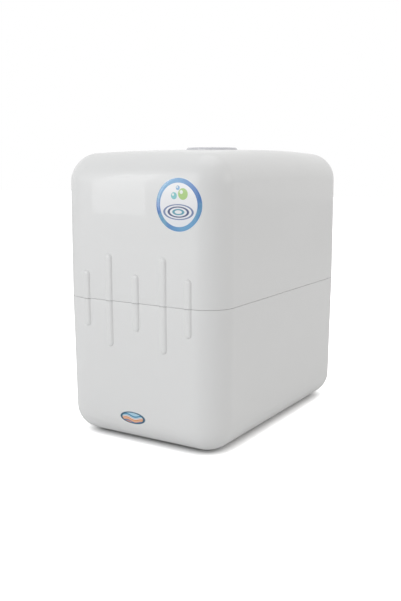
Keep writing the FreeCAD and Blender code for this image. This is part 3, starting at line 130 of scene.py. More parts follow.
class Graph:
    """Adds nodes to a tree from left to right. An input takes a value or a constant."""

    def __init__(self, tree):
        self.tree = tree
        self.count = 0

    def node(self, kind, inputs=None, **settings):
        """Add a node with its settings and inputs."""
        node = self.tree.nodes.new(kind)
        row, column = divmod(self.count, NODES_IN_A_ROW)
        node.location = (column * NODE_STEP, -2 * row * NODE_STEP)
        self.count += 1
        for name, value in settings.items():
            setattr(node, name, value)
        for name, value in (inputs or {}).items():
            if isinstance(value, Value):
                self.tree.links.new(value.socket, node.inputs[name])
            else:
                node.inputs[name].default_value = value
        return node

    def add(self, kind, inputs=None, out=0, **settings):
        """Add a node and hand back one of its outputs."""
        return Value(self, self.node(kind, inputs, **settings).outputs[out])

    def outputs(self, kind, inputs=None, **settings):
        """Add a node and hand back all its outputs by name."""
        sockets = self.node(kind, inputs, **settings).outputs
        return {socket.name: Value(self, socket) for socket in sockets}

    def math(self, operation, *values):
        return self.add("ShaderNodeMath", dict(enumerate(values)), operation=operation)

    def vector(self, operation, *values):
        names = ("Vector", "Scale") if operation == "SCALE" else (0, 1)
        out = "Value" if operation in ("LENGTH", "DOT_PRODUCT") else "Vector"
        return self.add("ShaderNodeVectorMath", dict(zip(names, values)), out, operation=operation)

    def sign(self, operation, first, second):
        """The node for a sign: a vector times a number scales it."""
        vectors = [v.is_vector if isinstance(v, Value) else isinstance(v, tuple)
                   for v in (first, second)]
        if not any(vectors):
            return self.math(operation, first, second)
        if operation == "MULTIPLY" and not vectors[1]:
            operation = "SCALE"
        return self.vector(operation, first, second)

    def combine(self, x, y, z):
        return self.add("ShaderNodeCombineXYZ", {"X": x, "Y": y, "Z": z})

    def split(self, vector):
        return list(self.outputs("ShaderNodeSeparateXYZ", {0: vector}).values())

    def length(self, across, up):
        return self.vector("LENGTH", self.combine(across, up, 0.0))

    def ramp(self, value, low, high, to_low=0.0, to_high=1.0):
        """The value carried smoothly from one range to another and held at its ends."""
        inputs = {"Value": value, "From Min": low, "From Max": high, "To Min": to_low,
                  "To Max": to_high}
        return self.add("ShaderNodeMapRange", inputs, "Result", interpolation_type="SMOOTHSTEP",
                        clamp=True)

    def band(self, value, middle, half, soft):
        """A mask that is 1 within half of the middle, with a soft edge."""
        return self.ramp(self.math("ABSOLUTE", value - middle), half + soft, half)

    def over(self, mask, below, colour):
        """One colour laid over another where the mask is 1."""
        return self.add("ShaderNodeMix", {"Factor": mask, "A": below, "B": colour}, "Result",
                        data_type="RGBA")

    def place(self):
        """Where a point of a finish lies, in Object coordinates."""
        return self.add("ShaderNodeTexCoord", out="Object")

    def noise(self, place, scale, detail=2.0, roughness=0.5):
        return self.add("ShaderNodeTexNoise", {"Vector": place, "Scale": scale, "Detail": detail,
                                               "Roughness": roughness})

    def cells(self, place, scale, out):
        return self.add("ShaderNodeTexVoronoi", {"Vector": place, "Scale": scale}, out)

    def named(self, label, data_type="FLOAT"):
        """A value that the points carry under a name."""
        return self.add("GeometryNodeInputNamedAttribute", {"Name": label}, "Attribute",
                        data_type=data_type)

    def keep_place(self, geometry, label):
        """Store where each point is under a name, for use after the points have moved."""
        here = self.add("GeometryNodeInputPosition")
        return self.add("GeometryNodeStoreNamedAttribute",
                        {"Geometry": geometry, "Name": label, "Value": here},
                        data_type="FLOAT_VECTOR", domain="POINT")

    def object_mesh(self, source):
        return self.add("GeometryNodeObjectInfo", {"Object": source}, "Geometry")

    def copies(self, points, piece, **more):
        """A real copy of the piece on every point."""
        inputs = {"Points": points, "Instance": piece, **more}
        return self.real(self.add("GeometryNodeInstanceOnPoints", inputs))

    def real(self, geometry):
        return self.add("GeometryNodeRealizeInstances", {0: geometry})

    def ray(self, target, source, direction):
        """Where a ray from each source point meets the target object, and the normal there."""
        hit = self.outputs("GeometryNodeRaycast", {
            "Target Geometry": self.object_mesh(target), "Source Position": source,
            "Ray Direction": direction, "Ray Length": 1.0})
        return hit["Hit Position"], hit["Hit Normal"]

    def moved(self, geometry, place):
        return self.add("GeometryNodeSetPosition", {"Geometry": geometry, "Position": place})

    def join(self, *parts):
        joined = self.node("GeometryNodeJoinGeometry")
        for part in parts:
            self.tree.links.new(part.socket, joined.inputs[0])
        return Value(self, joined.outputs[0])


print("a graph can", [name for name in vars(Graph) if not name.startswith("_")])

# %% Empty trees and groups
def emptied(owner):
    """The emptied node tree of a material or a world."""
    owner.use_nodes = True
    owner.node_tree.nodes.clear()
    return Graph(owner.node_tree)


def node_group(name, kind, inputs, outputs):
    """An empty tree with named sockets. An input is given by its first value or its kind."""
    tree = bpy.data.node_groups.new(name, kind)
    kinds = {float: "Float", int: "Int", tuple: "Color"}
    for label, value in inputs.items():
        plain = isinstance(value, str)
        socket = tree.interface.new_socket(
            name=label, in_out="INPUT",
            socket_type="NodeSocket" + (value if plain else kinds[type(value)]))
        if not plain:
            socket.default_value = value
    for label, value in outputs.items():
        tree.interface.new_socket(name=label, in_out="OUTPUT", socket_type="NodeSocket" + value)
    graph = Graph(tree)
    return graph, graph.outputs("NodeGroupInput")


print("the node helpers are ready")

# %% [markdown]
# ## Stage and light
# The photograph is a studio shot with light from all round: a pale floor and walls do half of the
# work, a large soft key light stands in front on the left, and weak ones stand on the right and
# overhead. Together they keep the front even, let it fall off quickly round the corner, and leave
# the side a little darker. The white background comes from what the camera and the mirrored rays
# see of the floor and the world, not from more light on the object. The floor that the camera sees
# also carries a painted contact shade: an ambient occlusion value darkens its colour where the
# casing closes it in, so the contact line stays crisp. A tall strip light on the left works on
# reflections alone, and the glossy front shows it as a pale rectangle.

# %% Floor and world
FLOOR_SIZE = 14.0
FLOOR_GREY = 0.85
FLOOR_SEEN_GAIN = 3.0
# Reach and depth of the painted contact shade on the floor that the camera sees.
PAINTED_SHADE_REACH = 0.02
PAINTED_SHADE_DEPTH = 0.55
WORLD_GREY = 0.50
WHITE = (1, 1, 1, 1)


def grey(level):
    return (level, level, level, 1)


def mirrored(path):
    """1 for the rays of a mirror image or of a view through glass."""
    return graph.math("MAXIMUM", path["Is Glossy Ray"], path["Is Transmission Ray"])


half_floor = FLOOR_SIZE / 2
floor_corners = [(x * half_floor, y * half_floor, 0.0)
                 for x, y in ((-1, -1), (1, -1), (1, 1), (-1, 1))]
floor_mesh = bpy.data.meshes.new("studio_floor")
floor_mesh.from_pydata(floor_corners, [], [(0, 1, 2, 3)])
floor = bpy.data.objects.new("studio_floor", floor_mesh)
bpy.context.collection.objects.link(floor)

floor_finish = bpy.data.materials.new("studio_floor")
graph = emptied(floor_finish)
path = graph.outputs("ShaderNodeLightPath")
plain = graph.add("ShaderNodeBsdfDiffuse", {"Color": grey(FLOOR_GREY)})
white = graph.add("ShaderNodeBsdfDiffuse", {"Color": WHITE})
# The ambient occlusion below is painted contact shade: it darkens the floor's colour for the camera
# where the casing closes it in, on top of the real shadow.
openness = graph.add("ShaderNodeAmbientOcclusion", {"Distance": PAINTED_SHADE_REACH}, "AO")
# A diffuse colour stops at 1, so three equal shares are added up to the gain, which carries the
# painted contact shade.
gain_with_painted_shade = openness ** PAINTED_SHADE_DEPTH * (FLOOR_SEEN_GAIN / 3)
third = graph.add("ShaderNodeBsdfDiffuse", {"Color": graph.combine(gain_with_painted_shade, gain_with_painted_shade, gain_with_painted_shade)})
two_thirds = graph.add("ShaderNodeAddShader", {0: third, 1: third})
bright = graph.add("ShaderNodeAddShader", {0: two_thirds, 1: third})
reflected = graph.add("ShaderNodeMixShader", {0: mirrored(path), 1: plain, 2: white})
seen = graph.add("ShaderNodeMixShader", {0: path["Is Camera Ray"], 1: reflected, 2: bright})
graph.node("ShaderNodeOutputMaterial", {"Surface": seen})
floor_mesh.materials.append(floor_finish)

world = bpy.data.worlds.new("studio")
graph = emptied(world)
path = graph.outputs("ShaderNodeLightPath")
soft_light = graph.add("ShaderNodeBackground", {"Color": grey(WORLD_GREY)})
backdrop = graph.add("ShaderNodeBackground", {"Color": WHITE})
sees_white = graph.math("MAXIMUM", path["Is Camera Ray"], mirrored(path))
seen = graph.add("ShaderNodeMixShader", {0: sees_white, 1: soft_light, 2: backdrop})
graph.node("ShaderNodeOutputWorld", {"Surface": seen})
bpy.context.scene.world = world
print("floor of", FLOOR_SIZE, "m and world are in place")

# %% Lamps
MIDDLE = (0.0, 0.0, 0.2)


def lamp(name, place, target, width, height, watts, colour=(1.0, 1.0, 1.0)):
    """A rectangular area lamp that faces a target point."""
    data = bpy.data.lights.new(name, "AREA")
    data.shape = "RECTANGLE"
    data.size, data.size_y = width, height
    data.energy, data.color = watts, colour
    return aimed(name, data, place, Vector(target) - Vector(place))


lamp("key_left", (-0.9, -2.55, 1.2), MIDDLE, 2.0, 2.0, 24.4, (0.98, 0.99, 1.0))
lamp("fill_right", (2.4, 0.9, 1.2), MIDDLE, 1.4, 1.4, 9.5, (1.0, 0.975, 0.94))
lamp("overhead", (0.0, 0.3, 2.4), MIDDLE, 1.8, 1.8, 11.6)
strip = lamp("softbox", (-0.635, -1.0, 0.56), (-0.635, 0.0, 0.56), 0.17, 0.60, 1.65)
strip.visible_diffuse = False
print("lamps:", [light.name for light in bpy.data.lights])

# %% [markdown]
# ## Effects that several finishes share
# Moulded plastic is never perfectly even: the tool leaves a fine grain, the colour drifts a little
# from thick to thin places, and handling leaves faint hairlines and dust. Each effect is a node
# group, built once and placed in every finish with its own values. A group only hands out what
# changes over the surface, while the shader with its fixed values stays in the material.

# %% Shared shader groups
BROAD_SCALE = 14.0
HAIRLINE_TURN = (0.5, 0.9, 0.3)
HAIRLINE_STRETCH = (260.0, 9.0, 40.0)
HAIRLINE_EDGE = (0.68, 0.76)
DUST_SCALE = 420.0
DUST_EDGE = (0.16, 0.06)


def grain_group():
    """Fine grain: a roughness that wavers round a middle value, and a height for a Bump node."""
    graph, given = node_group("moulded_grain", "ShaderNodeTree",
                              {"Scale": 900.0, "Roughness": 0.3, "Spread": 0.1},
                              {"Roughness": "Float", "Height": "Float"})
    place = graph.place()
    fine = graph.noise(place, given["Scale"], 3.0, 0.6)
    broad = graph.noise(place, BROAD_SCALE)
    waver = (fine * 0.5 + broad * 0.5 - 0.5) * given["Spread"]
    graph.node("NodeGroupOutput", {"Roughness": given["Roughness"] + waver, "Height": fine})
    return graph.tree


def drift_group():
    """A colour that gets slightly lighter and darker in broad, soft patches."""
    graph, given = node_group("tone_drift", "ShaderNodeTree",
                              {"Colour": (0.8, 0.8, 0.8, 1), "Amount": 0.03, "Scale": 9.0},
                              {"Colour": "Color"})
    change = (graph.noise(graph.place(), given["Scale"]) - 0.5) * given["Amount"]
    graph.node("NodeGroupOutput", {"Colour": given["Colour"] * (change + 1.0)})
    return graph.tree


def handling_group():
    """Where hairlines and dust lie: a mask from 0 to 1."""
    graph, given = node_group("handling_marks", "ShaderNodeTree",
                              {"Hairlines": 0.4, "Dust": 0.4}, {"Mask": "Float"})
    place = graph.place()
    stretched = graph.add("ShaderNodeMapping", {
        "Vector": place, "Rotation": HAIRLINE_TURN, "Scale": HAIRLINE_STRETCH})
    hair = graph.ramp(graph.noise(stretched, 1.0, 1.0), *HAIRLINE_EDGE) * given["Hairlines"]
    specks = graph.cells(place, DUST_SCALE, "Distance")
    dust = graph.ramp(specks, *DUST_EDGE) * given["Dust"]
    graph.node("NodeGroupOutput", {"Mask": graph.math("MAXIMUM", hair, dust)})
    return graph.tree


moulded_grain = grain_group()
tone_drift = drift_group()
handling_marks = handling_group()
print("shared groups:", moulded_grain.name, tone_drift.name, handling_marks.name)

# %% [markdown]
# ## Plastics, rubber and enamel
# One function makes every non-metal finish from its colour, its roughness and the depth of its
# grain. The glossy casing has a clear top layer, a coat, over the body colour. Acetal fittings and
# polypropylene canisters are duller and show more grain, and rubber is dull with a soft sheen.

# %% Helpers for finishes
finishes = {}


def new_finish(name):
    """An empty material, filed under its name."""
    finishes[name] = bpy.data.materials.new(name)
    return emptied(finishes[name])


def grained(graph, scale, roughness, spread):
    inputs = {"Scale": scale, "Roughness": roughness, "Spread": spread}
    return graph.outputs("ShaderNodeGroup", inputs, node_tree=moulded_grain)


def drifting(graph, colour, amount):
    inputs = {"Colour": colour + (1,), "Amount": amount}
    return graph.add("ShaderNodeGroup", inputs, node_tree=tone_drift)


def bumped(graph, strength, depth, height):
    """Normals that follow a height, with a depth in millimetres."""
    return graph.add("ShaderNodeBump", {"Strength": strength, "Distance": depth * MM,
                                        "Height": height})


def close_finish(graph, inputs):
    """Every finish ends in a Principled BSDF."""
    shader = graph.add("ShaderNodeBsdfPrincipled", inputs)
    graph.node("ShaderNodeOutputMaterial", {"Surface": shader})


print("finishes so far:", len(finishes))

# %% Non-metal finishes
DUST_COLOUR = (0.62, 0.61, 0.59, 1)
MARK_STRENGTH = 0.12
PLASTIC_DRIFT = 0.03


def moulded(name, colour, roughness, grain=900.0, depth=0.02, coat=0.0, coat_roughness=0.06,
            sheen=0.0, marks=0.3, ior=1.5):
    graph = new_finish(name)
    tone = drifting(graph, colour, PLASTIC_DRIFT)
    mask = graph.add("ShaderNodeGroup", {"Hairlines": marks, "Dust": marks},
                     node_tree=handling_marks)
    wear = mask * MARK_STRENGTH
    surface = grained(graph, grain, roughness, roughness * 0.5)
    close_finish(graph, {
        "Base Color": graph.over(wear, tone, DUST_COLOUR),
        "Roughness": surface["Roughness"] + wear,
        "Normal": bumped(graph, 0.5, depth, surface["Height"]),
        "IOR": ior, "Coat Weight": coat, "Coat Roughness": coat_roughness, "Coat IOR": ior,
        "Sheen Weight": sheen, "Sheen Roughness": 0.5})


moulded("casing_white", (0.80, 0.803, 0.80), 0.38, 1400.0, 0.004, coat=0.25, coat_roughness=0.02,
        marks=0.1, ior=1.42)
moulded("cap_white", (0.63, 0.63, 0.66), 0.26, 1400.0, 0.006, coat=0.2, marks=0.15)
moulded("rubber_grey", (0.30, 0.30, 0.31), 0.7, 700.0, 0.05, sheen=0.3)
moulded("rubber_black", (0.035, 0.035, 0.037), 0.62, 600.0, 0.06, sheen=0.3)
moulded("fitting_white", (0.80, 0.80, 0.775), 0.38, 800.0, 0.02)
moulded("collet_blue", (0.05, 0.17, 0.50), 0.4, 800.0, 0.02)
moulded("collet_grey", (0.36, 0.36, 0.37), 0.42, 800.0, 0.02)
moulded("collet_red", (0.50, 0.05, 0.04), 0.4, 800.0, 0.02)
moulded("port_grey", (0.62, 0.625, 0.63), 0.42, 700.0, 0.03)
moulded("canister_white", (0.78, 0.79, 0.80), 0.34, 500.0, 0.03, coat=0.1)
moulded("clip_white", (0.72, 0.72, 0.70), 0.45, 700.0, 0.03)
moulded("tank_enamel", (0.74, 0.76, 0.78), 0.24, 160.0, 0.08, coat=0.5, marks=0.4)
moulded("stand_black", (0.045, 0.045, 0.048), 0.5, 420.0, 0.08)
moulded("cap_blue", (0.04, 0.15, 0.46), 0.42, 700.0, 0.03)
moulded("lever_blue", (0.04, 0.17, 0.52), 0.28, 700.0, 0.02, coat=0.2)
moulded("plunger_plastic", (0.25, 0.25, 0.27), 0.4)
moulded("tube_white", (0.80, 0.80, 0.77), 0.30, 300.0, 0.01, coat=0.2)
moulded("tube_blue", (0.06, 0.24, 0.60), 0.30, 300.0, 0.01, coat=0.2)
moulded("tube_red", (0.56, 0.07, 0.05), 0.30, 300.0, 0.01, coat=0.2)
print(len(finishes), "moulded finishes")

# %% [markdown]
# ## Metals
# Galvanised sheet steel shows spangles, large flat crystals that each reflect a little
# differently, so a Voronoi pattern gives every cell its own tone and roughness. Screws are zinc
# plated and finely turned, the air valve is brass, and the ball of the valve is polished.

# %% Metal finishes
SPANGLE_SCALE = 130.0
TURNING_SCALE = (40.0, 40.0, 2600.0)
METAL_DRIFT = 0.08


def metal(name, colour, roughness, spangle=0.0, streaks=0.0):
    graph = new_finish(name)
    place = graph.place()
    crystal = graph.split(graph.cells(place, SPANGLE_SCALE, "Color"))[0]
    turned = graph.add("ShaderNodeMapping", {"Vector": place, "Scale": TURNING_SCALE})
    lines = graph.noise(turned, 1.0)
    change = (crystal - 0.5) * spangle + (lines - 0.5) * streaks
    surface = grained(graph, 900.0, roughness, roughness * 0.4)
    close_finish(graph, {
        "Base Color": drifting(graph, colour, METAL_DRIFT) * (change + 1.0), "Metallic": 1.0,
        "Roughness": surface["Roughness"] + change * 0.4,
        "Normal": bumped(graph, 0.4, 0.01, lines)})


metal("bracket_zinc", (0.62, 0.63, 0.64), 0.38, spangle=0.25)
metal("screw_steel", (0.66, 0.66, 0.65), 0.27, streaks=0.2)
metal("valve_brass", (0.78, 0.58, 0.26), 0.26, streaks=0.15)
metal("ball_steel", (0.72, 0.72, 0.72), 0.08, streaks=0.05)
print("metals added,", len(finishes), "finishes")

# %% [markdown]
# ## Filter media
# The media are hidden in their canisters, but anyone who opens one should find the right stuff: a
# sediment core wound from polypropylene yarn, black carbon with a granular surface, and a membrane
# rolled in blue tape.

# %% Media finishes
WINDING_SLANT = 3.0


def media(name, light, dark, roughness, pattern_scale, depth, wound):
    graph = new_finish(name)
    place = graph.place()
    if wound:
        x, y, z = graph.split(place)
        slanted = z * pattern_scale + graph.math("ARCTAN2", y, x) * WINDING_SLANT
        pattern = graph.math("ABSOLUTE", graph.math("SINE", slanted))
    else:
        pattern = graph.cells(place, pattern_scale, "Distance")
    close_finish(graph, {"Base Color": graph.over(pattern, dark + (1,), light + (1,)),
                         "Roughness": roughness, "Normal": bumped(graph, 0.8, depth, pattern)})


media("sediment_media", (0.86, 0.85, 0.80), (0.62, 0.61, 0.56), 0.85, 420.0, 0.6, True)
media("carbon_media", (0.05, 0.05, 0.05), (0.01, 0.01, 0.01), 0.9, 700.0, 0.5, False)
media("membrane_wrap", (0.20, 0.33, 0.56), (0.14, 0.24, 0.44), 0.4, 90.0, 0.1, True)
print("media added,", len(finishes), "finishes")

# %% [markdown]
# ## Prints for the two badges
# The badges are domed labels: a print under clear resin. Both prints here are generic. The round
# one has a blue ring, a few water ripples low in a pale field and three bubbles that rise from
# them. The small one has a dark rim round a wave in blue and orange. The pattern is worked out from
# Object coordinates, as distances from the badge's middle in half widths, so it stays sharp.

# %% Badge helpers
ROUND_BADGE = {"x": 69.0 * MM, "z": 332.5 * MM, "half_width": 34.5 * MM, "half_height": 34.5 * MM}
OVAL_BADGE = {"x": -8.0 * MM, "z": 39.5 * MM, "half_width": 21.5 * MM, "half_height": 8.75 * MM}
PRINT_SOFT = 0.02


def badge_coordinates(graph, badge):
    """Distances from the badge's middle to the right and up, in half widths and half heights."""
    x, _, z = graph.split(graph.place())
    across = (x - badge["x"]) / badge["half_width"]
    up = (z - badge["z"]) / badge["half_height"]
    return across, up, graph.length(across, up)


def close_print(graph, shade, grain=500.0, roughness=0.3, coat=0.6, coat_roughness=0.04):
    """Clear resin or film over a print: a coat over a satin layer."""
    surface = grained(graph, grain, roughness, 0.1)
    close_finish(graph, {"Base Color": shade, "Roughness": surface["Roughness"],
                         "Coat Weight": coat, "Coat Roughness": coat_roughness})


def spot(graph, across, up, middle, radius):
    """A round mask with a soft edge."""
    away = graph.length(across - middle[0], up - middle[1])
    return graph.ramp(away, radius + PRINT_SOFT, radius)


print("badge middles:", [(badge["x"], badge["z"]) for badge in (ROUND_BADGE, OVAL_BADGE)])

# %% Print of the round badge
RING_BLUES = (0.13, 0.36, 0.62, 1), (0.06, 0.19, 0.50, 1)
RING_GREEN = (0.20, 0.48, 0.56, 1)
FIELD_PALES = (0.83, 0.84, 0.88, 1), (0.88, 0.88, 0.89, 1)
RIM_PALE = (0.86, 0.87, 0.90, 1)
GLINT = (0.84, 0.88, 0.84, 1)
RING_START = (0.80, 0.815)
RING_END = (0.97, 0.985)
RING_PHASE = 0.6
MOTTLE_SCALE = 60.0
MOTTLE_EDGE = (0.50, 0.72)
MOTTLE_SHARE = 0.6
FIELD_FADE = (-0.7, 0.7)
RIPPLE_DROP = 0.26
RIPPLE_FLATNESS = 2.3
RIPPLES = ((0.62, 0.034, (0.16, 0.22, 0.40, 1)), (0.42, 0.040, (0.05, 0.08, 0.20, 1)),
           (0.21, 0.044, (0.10, 0.34, 0.44, 1)))
BUBBLES = (((0.20, 0.40), 0.20, (0.40, 0.62, 0.20, 1)),
           ((-0.19, 0.33), 0.12, (0.20, 0.56, 0.58, 1)),
           ((-0.02, 0.62), 0.075, (0.22, 0.44, 0.70, 1)))
GLINT_OFFSET = 0.35
GLINT_SIZE = 0.3


def round_print():
    graph = new_finish("badge_print")
    across, up, away = badge_coordinates(graph, ROUND_BADGE)
    turn = graph.math("ARCTAN2", up, across)
    sweep = graph.math("SINE", turn * 2.0 + RING_PHASE) * 0.5 + 0.5
    ring = graph.over(sweep, *RING_BLUES)
    mottle = graph.noise(graph.place(), MOTTLE_SCALE)
    ring = graph.over(graph.ramp(mottle, *MOTTLE_EDGE, 0.0, MOTTLE_SHARE), ring, RING_GREEN)
    shade = graph.over(graph.ramp(up, *FIELD_FADE), *FIELD_PALES)
    ripple = graph.length(across, (up + RIPPLE_DROP) * RIPPLE_FLATNESS)
    for middle, half, colour in RIPPLES:
        shade = graph.over(graph.band(ripple, middle, half, PRINT_SOFT), shade, colour)
    for middle, radius, colour in BUBBLES:
        shade = graph.over(spot(graph, across, up, middle, radius), shade, colour)
        glint = (middle[0] - radius * GLINT_OFFSET, middle[1] + radius * GLINT_OFFSET)
        shade = graph.over(spot(graph, across, up, glint, radius * GLINT_SIZE), shade, GLINT)
    shade = graph.over(graph.ramp(away, *RING_START), shade, ring)
    shade = graph.over(graph.ramp(away, *RING_END), shade, RIM_PALE)
    close_print(graph, shade)


round_print()
print("the round badge has", len(RIPPLES), "ripples and", len(BUBBLES), "bubbles")

# %% Print of the oval badge
WATER_BLUE = (0.42, 0.66, 0.80, 1)
SAND_ORANGE = (0.78, 0.30, 0.14, 1)
WAVES = ((-0.02, 0.05, (0.80, 0.80, 0.78, 1)), (-0.36, 0.06, (0.80, 0.52, 0.34, 1)),
         (0.36, 0.09, (0.04, 0.24, 0.42, 1)), (-0.62, 0.07, (0.05, 0.22, 0.46, 1)))
WAVE_RATE = 5.2
WAVE_PHASE = 0.8
WAVE_SWELL = 0.16
WAVE_SOFT = 0.03
SHORE = (0.05, 0.12)
WAVES_END = (0.78, 0.83)
OVAL_END = (0.95, 0.98)
OVAL_RIM_DARK = (0.02, 0.10, 0.17, 1)
OVAL_RIM_PALE = (0.62, 0.68, 0.74, 1)


def oval_print():
    graph = new_finish("badge_oval_print")
    across, up, away = badge_coordinates(graph, OVAL_BADGE)
    height = up + graph.math("SINE", across * WAVE_RATE + WAVE_PHASE) * WAVE_SWELL
    shade = graph.over(graph.ramp(height, *SHORE), SAND_ORANGE, WATER_BLUE)
    for middle, half, colour in WAVES:
        shade = graph.over(graph.band(height, middle, half, WAVE_SOFT), shade, colour)
    shade = graph.over(graph.ramp(away, *WAVES_END), shade, OVAL_RIM_DARK)
    shade = graph.over(graph.ramp(away, *OVAL_END), shade, OVAL_RIM_PALE)
    close_print(graph, shade)


oval_print()
slots = [entry["slot"] for entry in frame["record"]["materials"]]
print("slots with no finish yet:", [slot for slot in slots if slot not in finishes])

# %% Give every CAD node its finish
for entry in frame["record"]["subparts"]:
    for material_slot in frame["nodes"][entry["node"]].material_slots:
        material_slot.material = finishes[entry["material_slot"]]

# %% [markdown]
# ## Growing meshes from trees
# A Geometry Nodes tree is a recipe: it takes a few points and named sizes and returns a finished
# mesh. We hang the tree on an object as a modifier, read the evaluated result back as a plain
# mesh, and take the modifier off, so what is left is ordinary geometry that any other program can
# read. Faces are then turned outwards, and edges sharper than a set angle are marked, so that flat
# shading stays crisp where the moulding has a real corner.

# %% Loose points and chains
def point_object(name, places, edges=(), attributes=None):
    """An object of loose points or edges, with one value per point for each attribute."""
    mesh = bpy.data.meshes.new(name)
    mesh.from_pydata([tuple(place) for place in places], list(edges), [])
    for label, values in (attributes or {}).items():
        layer = mesh.attributes.new(label, "FLOAT", "POINT")
        layer.data.foreach_set("value", values)
    shape = bpy.data.objects.new(name, mesh)
    bpy.context.collection.objects.link(shape)
    return shape


def chain_object(name, columns, closed):
    """A chain of points that are known by their values alone."""
    count = len(next(iter(columns.values())))
    edges = [(k, k + 1) for k in range(count - 1)] + ([(count - 1, 0)] if closed else [])
    return point_object(name, [(k * MM, 0.0, 0.0) for k in range(count)], edges, columns)


print("point objects carry one value per point and attribute")

# %% Turn a tree into a plain mesh
SHARP_ANGLE = math.radians(34)
MERGE_DISTANCE = 0.002 * MM


def tidy_mesh(mesh):
    """Merge doubled points, turn the faces outwards and mark the sharp edges."""
    work = bmesh.new()
    work.from_mesh(mesh)
    bmesh.ops.remove_doubles(work, verts=work.verts, dist=MERGE_DISTANCE)
    bmesh.ops.dissolve_degenerate(work, edges=work.edges, dist=MERGE_DISTANCE / 2)
    bmesh.ops.recalc_face_normals(work, faces=work.faces)
    work.to_mesh(mesh)
    work.free()
    mesh.shade_smooth()
    mesh.set_sharp_from_angle(angle=SHARP_ANGLE)


def grow(shape, tree, finish="casing_white", **sizes):
    """Run the tree on the object with the given sizes, and keep only the plain mesh."""
    modifier = shape.modifiers.new("tree", "NODES")
    modifier.node_group = tree
    sizes["finish"] = finishes[finish]
    for item in tree.interface.items_tree:
        label = item.name.replace(" ", "_").lower()
        if item.in_out == "INPUT" and label in sizes:
            modifier[item.identifier] = sizes[label]
    bpy.context.view_layer.update()
    evaluated = shape.evaluated_get(bpy.context.evaluated_depsgraph_get())
    mesh = bpy.data.meshes.new_from_object(evaluated)
    mesh.name = shape.name
    shape.modifiers.clear()
    shape.data = mesh
    for layer in list(mesh.attributes):
        if not layer.is_internal and layer.domain == "POINT" and layer.name != "position":
            mesh.attributes.remove(layer)
    tidy_mesh(mesh)
    print(shape.name, "has", len(mesh.polygons), "faces")
    return shape


print("points within", MERGE_DISTANCE / MM, "mm are merged")

# %% How every geometry tree starts and ends
def geometry_tree(name, inputs):
    """An empty tree that gives one mesh and takes, besides its sizes, a finish."""
    return node_group(name, "GeometryNodeTree", {**inputs, "Finish": "Material"},
                      {"Mesh": "Geometry"})


def close_tree(graph, given, geometry):
    """Every tree ends by making its copies real and giving them their finish."""
    finished = graph.add("GeometryNodeSetMaterial", {
        "Geometry": graph.real(geometry), "Material": given["Finish"]})
    graph.node("NodeGroupOutput", {"Mesh": finished})
    print(graph.tree.name, "has", len(graph.tree.nodes), "nodes")
    return graph.tree


print("every tree takes a finish and gives a mesh")

# %% [markdown]
# ## The casing form
# Both halves, and the round cap, follow one rule: a wall section is carried round a rounded
# rectangle. A plain sweep would cross itself at the corners as soon as the section reaches further
# in than the corner radius. So the tree keeps, for every point of the outline, the nearest point
# of an inner core rectangle and the direction away from it, and places each section point itself.
# Four values per section point say how: `draft` moves the wall in without touching the corner
# radius, `fillet` moves it in like an offset, `circle` is a radius and `morph` says how far the
# ring has turned from the rounded rectangle into that circle. A fifth, `crown`, lowers the point
# like a shallow dome.

# %% The tree that carries a section round the outline
CORNER_POINTS = 64


def casing_form_tree():
    graph, given = geometry_tree("casing_form", {
        "Section": "Geometry", "Half Width": 0.1, "Half Depth": 0.1, "Corner Radius": 0.03,
        "Crown Radius": 3.0, "Middle Y": 0.0, "Outline Points": 100})
    half_width, half_depth = given["Half Width"], given["Half Depth"]
    radius = given["Corner Radius"]
    rectangle = graph.add("GeometryNodeCurvePrimitiveQuadrilateral", {
        "Width": half_width * 2.0, "Height": half_depth * 2.0})
    rounded = graph.add("GeometryNodeFilletCurve", {
        "Curve": rectangle, "Radius": radius, "Count": CORNER_POINTS}, mode="POLY")
    spaced = graph.add("GeometryNodeResampleCurve", {
        "Curve": rounded, "Count": given["Outline Points"]})
    outline = graph.keep_place(spaced, "outline")
    section = graph.add("GeometryNodeMeshToCurve", {0: given["Section"]})
    swept = graph.add("GeometryNodeCurveToMesh", {"Curve": outline, "Profile Curve": section})
    point = graph.named("outline", "FLOAT_VECTOR")
    core = graph.combine(half_width - radius, half_depth - radius, 0.0)
    nearest = graph.vector("MAXIMUM", graph.vector("MINIMUM", point, core), core * -1.0)
    away = graph.vector("NORMALIZE", point - nearest)
    draft = graph.named("draft")
    shrink = graph.combine(draft, draft, 0.0) / core
    reach = radius - graph.named("fillet")
    boxed = nearest * ((1.0, 1.0, 1.0) - shrink) + away * reach
    x, y = graph.split(point)[:2]
    turn = graph.math("ARCTAN2", y / half_depth, x / half_width)
    unit = graph.combine(graph.math("COSINE", turn), graph.math("SINE", turn), 0.0)
    flat = boxed + (unit * graph.named("circle") - boxed) * graph.named("morph")
    sag = graph.vector("DOT_PRODUCT", flat, flat) / (given["Crown Radius"] * 2.0)
    level = graph.named("level") - sag * graph.named("crown")
    final = flat + graph.combine(0.0, given["Middle Y"], level)
    return close_tree(graph, given, graph.moved(swept, final))


casing_form = casing_form_tree()

# %% [markdown]
# ## The section of a wall
# A section is a chain of stations. A station is a point with the five values that the tree reads.
# The helpers below add straight stretches and quarter arcs, so a wall, a rounded edge and a roof
# are one line each.

# %% Sections as chains of stations
HALF_WIDTH = 129.0 * MM
HALF_DEPTH = 198.0 * MM
MIDDLE_Y = -7.25 * MM
CORNER_RADIUS = 40.0 * MM
CROWN_RADIUS = 2.9
WALL = 3.0 * MM
BASE_Z = 3.5 * MM
PARTING_Z = 200.0 * MM
TOP_Z = 403.5 * MM
TOP_RADIUS = 38.0 * MM
BASE_RADIUS = 35.0 * MM
UPPER_DRAFT = 0.005
LOWER_DRAFT = 0.009
HALF_GAP = 0.25 * MM
SOFT_EDGE = 0.35 * MM
OUTLINE_POINTS = 480
OUTER_ARC_STEPS = 24
INNER_ARC_STEPS = 14
SOFT_STEPS = 4
SECTION_VALUES = ("draft", "fillet", "level", "morph", "circle", "crown")


